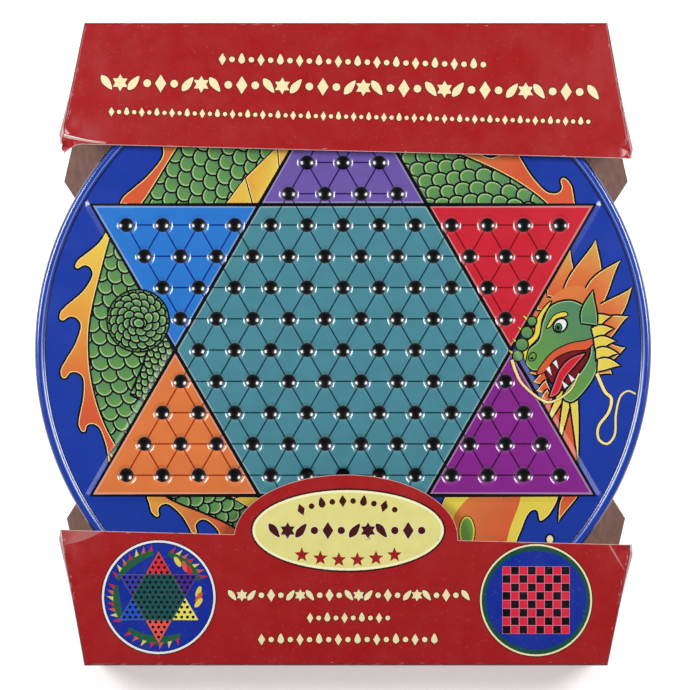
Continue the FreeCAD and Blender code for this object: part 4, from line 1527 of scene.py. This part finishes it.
def make_net(bag, ink):
    """A knitted net bag: slanting strands over a pillow that gathers at its neck and flares at its mouth."""
    low, high = node_box(bag)
    tie_low, tie_high = node_box(f"{bag}_tie")
    neck_x, centre_y = (tie_low.x + tie_high.x) / 2, (tie_low.y + tie_high.y) / 2
    centre_z = (low.z + high.z) / 2
    half_y, half_z = (high.y - low.y) / 2 - 0.3, (high.z - low.z) / 2 - 0.3
    end_x = neck_x - 11.6
    # The bag's half width along its length, as fractions of half_y.
    line = line_through([
        (low.x + 0.35, 0.05), (low.x + 0.4, 0.5), (low.x + 1.2, 0.86), (low.x + 6, 1.0),
        ((low.x + end_x) / 2, 1.0), (end_x - 6, 1.0), (end_x - 0.9, 0.86), (end_x, 0.5), (end_x + 2, 0.2),
        (neck_x, 0.0), (neck_x + 5, 0.1), (high.x - 0.4, 0.2),
    ], 10)
    side = [(x, fraction * half_y) for x, fraction in line]
    marks = path_lengths(side)
    rows = int(marks[-1] / 3.4)
    around = 56
    thin = 2.2  # half the thickness of the gathered neck

    def node_at(row, turn):
        (x, wide), _ = at_length(side, marks, marks[-1] * row / rows)
        flat = wide / half_y
        tall = thin + (half_z - thin) * min(1.0, flat * 1.25) if x < neck_x else max(thin, wide * 0.8)

        def rounded(value):
            return (abs(value) ** 0.55 if flat > 0.3 else abs(value)) * (1 if value >= 0 else -1)

        angle = tau * turn / around
        y, z = max(thin, wide) * rounded(cos(angle)), tall * rounded(sin(angle))
        return Vector((x, centre_y + y, centre_z + z))

    places = [(row, turn) for row in range(rows + 1) for turn in range(around) if (row + turn) % 2 == 0]
    grid = {place: node_at(*place) for place in places}
    skin = Skin()
    for (row, turn), point in grid.items():
        for way in (1, -1):
            other = grid.get((row + 1, (turn + way) % around))
            if other:
                rod(skin, [point, other], 0.24, ink)
    skin.hand_over(f"{bag}_net", [net_cord], "base", bag)


def make_tie(bag, ink):
    """Cord wound twice round the gathered neck, with a flat knot."""
    low, high = node_box(f"{bag}_tie")
    centre = (low + high) / 2
    skin = Skin()
    reach, steps = 3.5, 80
    path = []
    for k in range(steps + 1):
        angle = tau * 2 * k / steps
        x = low.x + 0.55 + (high.x - low.x - 1.1) * k / steps
        path.append(Vector((x, centre.y + reach * cos(angle), centre.z + reach * sin(angle))))
    rod(skin, path, 0.5, ink, 8)
    for shift in (-0.45, 0.45):
        loop = [Vector((centre.x + shift + 0.35 * sin(tau * k / 24), centre.y + 1.6 * cos(tau * k / 24),
                        centre.z + reach + 0.35 * sin(tau * k / 12))) for k in range(25)]
        rod(skin, loop, 0.45, ink, 8)
    skin.hand_over(f"{bag}_cord", [net_cord], "base", f"{bag}_tie")


def make_paper():
    """The rules sheet, folded in three, with two small diagrams and ruled lines in place of words."""
    low, high = node_box("instruction_sheet")
    half_x, half_y = 68.5, 43.5
    middle = ((low.x + high.x) / 2, (low.y + high.y) / 2)
    skin = Skin(lambda p: Vector((*turned([p[:2]], radians(5), middle)[0], p[2])))
    paper = srgb(238, 234, 222)
    levels = (low.z + 0.08, low.z + 0.36, high.z - 0.16)
    for level, z in enumerate(levels):
        art = Artwork()
        art.lay([(-half_x, -half_y), (half_x, -half_y), (half_x, half_y), (-half_x, half_y)], paper)
        lay_grid(art, (-half_x, -half_y), (half_x, half_y), 8.0)
        if level == 2:
            lay_star(art, (-38, 6), 26 / STAR_TIP, 0.4, True, (MIDDLE_GREY,) * 6, PALE_GREY)
            lay_checkerboard(art, (38, 6), 5.2, 1.0, 0.2, paper, MIDDLE_GREY)
            for k in range(3):
                y = -26 - 4 * k
                art.stroke([(-60, y), (-16 - 6 * (k == 2), y)], 0.9, DARK_GREY)
                art.stroke([(16, y), (60 - 9 * (k == 1), y)], 0.9, DARK_GREY)

        def height(x, y):
            return z - 0.06 + 0.06 * noise.noise(Vector((x / 22, y / 18, level)))

        spread(skin, art, height)
        spread(skin, art, lambda x, y: height(x, y) - 0.05, up=-1, plain=paper)
    for lower, upper, side in ((levels[0], levels[1], 1), (levels[1], levels[2], -1)):
        reach = (upper - lower) / 2
        ring = []
        for k in range(7):
            angle = radians(-90 + 30 * k)
            y = side * (half_y + reach * 0.9 * cos(angle))
            ring.append((y, (lower + upper) / 2 - 0.07 + reach * sin(angle), sin(angle)))
        for a, b in zip(ring, ring[1:]):
            quad = [(-half_x, *a[:2]), (half_x, *a[:2]), (half_x, *b[:2]), (-half_x, *b[:2])]
            skin.face(quad, [paper] * 4, [(0, side * cos(0.5), way[2]) for way in (a, a, b, b)], layer=5)
    skin.hand_over("rules_sheet", [sheet_paper], "base", "instruction_sheet")


def make_wrap():
    """The two caps and the back panel. Crumpled corners are given as a place, a reach and a depth."""
    top = (TOP_SPINE_HIGH.y, TOP_FRONT_LOW.y + FREE_SKEW)
    bottom = (-BOTTOM_SPINE_LOW.y, TAB_RISE - BOTTOM_FRONT_HIGH.y)
    right_x, left_x = TOP_FRONT_HIGH.x - FLARE, BOTTOM_FRONT_LOW.x + FLARE
    bent = (left_x, top[1] + FREE_SKEW)
    steps = ((0.8, 2.6), (2.4, 4.8), (5.2, 2.6), (8.0, 0.8))
    tip = [(bent[0] + shift, bent[1] - drop) for shift, drop in steps]
    make_cap("top_cap", *top, 1, (((right_x, TOP_FRONT_LOW.y), 13, 2.0), (bent, 22, 1.8)), draw_top, tip)
    crumples = (((left_x, FREE_SKEW - bottom[1]), 24, 1.8), ((right_x, -bottom[1] - FREE_SKEW), 12, 1.6))
    make_cap("bottom_cap", *bottom, -1, crumples, draw_bottom)
    make_back_panel()


def make_contents():
    """The balls, the checkers, the two bags with their ties, and the rules."""
    for colour, ink in BALL_INKS.items():
        make_balls(colour, ink)
    make_checkers("red", srgb(190, 26, 34))
    make_checkers("black", srgb(20, 20, 22))
    for bag, ink in (("ball_bag", srgb(226, 190, 70)), ("checker_bag", srgb(232, 228, 214))):
        make_net(bag, ink)
        make_tie(bag, mix(ink, BLACK, 0.25))
    make_paper()


make_lid()
make_base()
make_wrap()
make_contents()

# ---- Floor, light and camera -------------------------------------------------------------------
PHOTO_WIDTH = 353.3  # what the square frame takes in at the height of the board
CAMERA_HEIGHT = 1500.0
FLOOR_Z = -0.2  # a hair below the board's underside
FLOOR_HALF = 4000.0
FLOOR_GLOW = 0.45
SENSOR = 36.0
scene = bpy.context.scene


def make_floor():
    """A pale floor, open under the wrap, so that the print underneath shows from below."""
    art = Artwork()
    art.lay(square_outline(FLOOR_HALF), WHITE)
    art.lay([(WRAP_X + x, y) for x, y in inset(panel_corners(), 2.0)], CUT)
    skin = Skin()
    spread(skin, art, lambda x, y: FLOOR_Z)
    pale = finish("pale_floor", srgb(246, 246, 246), rough=0.8, mottle=0.01, bump=0.02)
    shader = pale.node_tree.nodes["Principled BSDF"]
    shader.inputs["Emission Strength"].default_value = FLOOR_GLOW
    shader.inputs["Emission Color"].default_value = (1, 1, 1, 1)
    skin.build("floor", [pale])


def softbox(name, place, target, size, power):
    """A rectangular lamp that faces its target. Places are in metres."""
    light = bpy.data.lights.new(name, "AREA")
    light.shape = "RECTANGLE"
    light.size, light.size_y = size
    light.energy = power
    lamp = bpy.data.objects.new(name, light)
    lamp.location = place
    lamp.rotation_euler = (Vector(target) - Vector(place)).to_track_quat("-Z", "Y").to_euler()
    scene.collection.objects.link(lamp)


def make_camera():
    """A camera straight above, far enough off for the photograph's flat view."""
    lens = bpy.data.cameras.new("camera")
    lens.sensor_width = SENSOR
    lens.lens = SENSOR * (CAMERA_HEIGHT - LID_HIGH.z) / PHOTO_WIDTH
    camera = bpy.data.objects.new("camera", lens)
    camera.location = (1.0 * MM, 2.6 * MM, CAMERA_HEIGHT * MM)
    scene.collection.objects.link(camera)
    scene.camera = camera


make_floor()
make_camera()
for name, side in (("left_box", -1), ("right_box", 1)):
    softbox(name, (0.54 * side, 0.17, 0.58), (0, 0, 0), (0.3, 0.25), 3.9)


def make_world():
    """A pale horizon that darkens overhead."""
    world = bpy.data.worlds.new("studio")
    world.use_nodes = True
    tree = world.node_tree
    place = add_node(tree, "TexCoord", {})
    split = add_node(tree, "SeparateXYZ", {})
    ramp = add_node(tree, "MapRange", {"From Min": 0.0, "From Max": 0.75, "To Min": 0.7, "To Max": 0.05})
    sky = tree.nodes["Background"]
    sky.inputs["Color"].default_value = (0.96, 0.98, 1.0, 1)
    tree.links.new(place.outputs["Generated"], split.inputs["Vector"])
    tree.links.new(split.outputs["Z"], ramp.inputs["Value"])
    tree.links.new(ramp.outputs["Result"], sky.inputs["Strength"])
    return world


scene.world = make_world()
scene.view_settings.view_transform = "Standard"
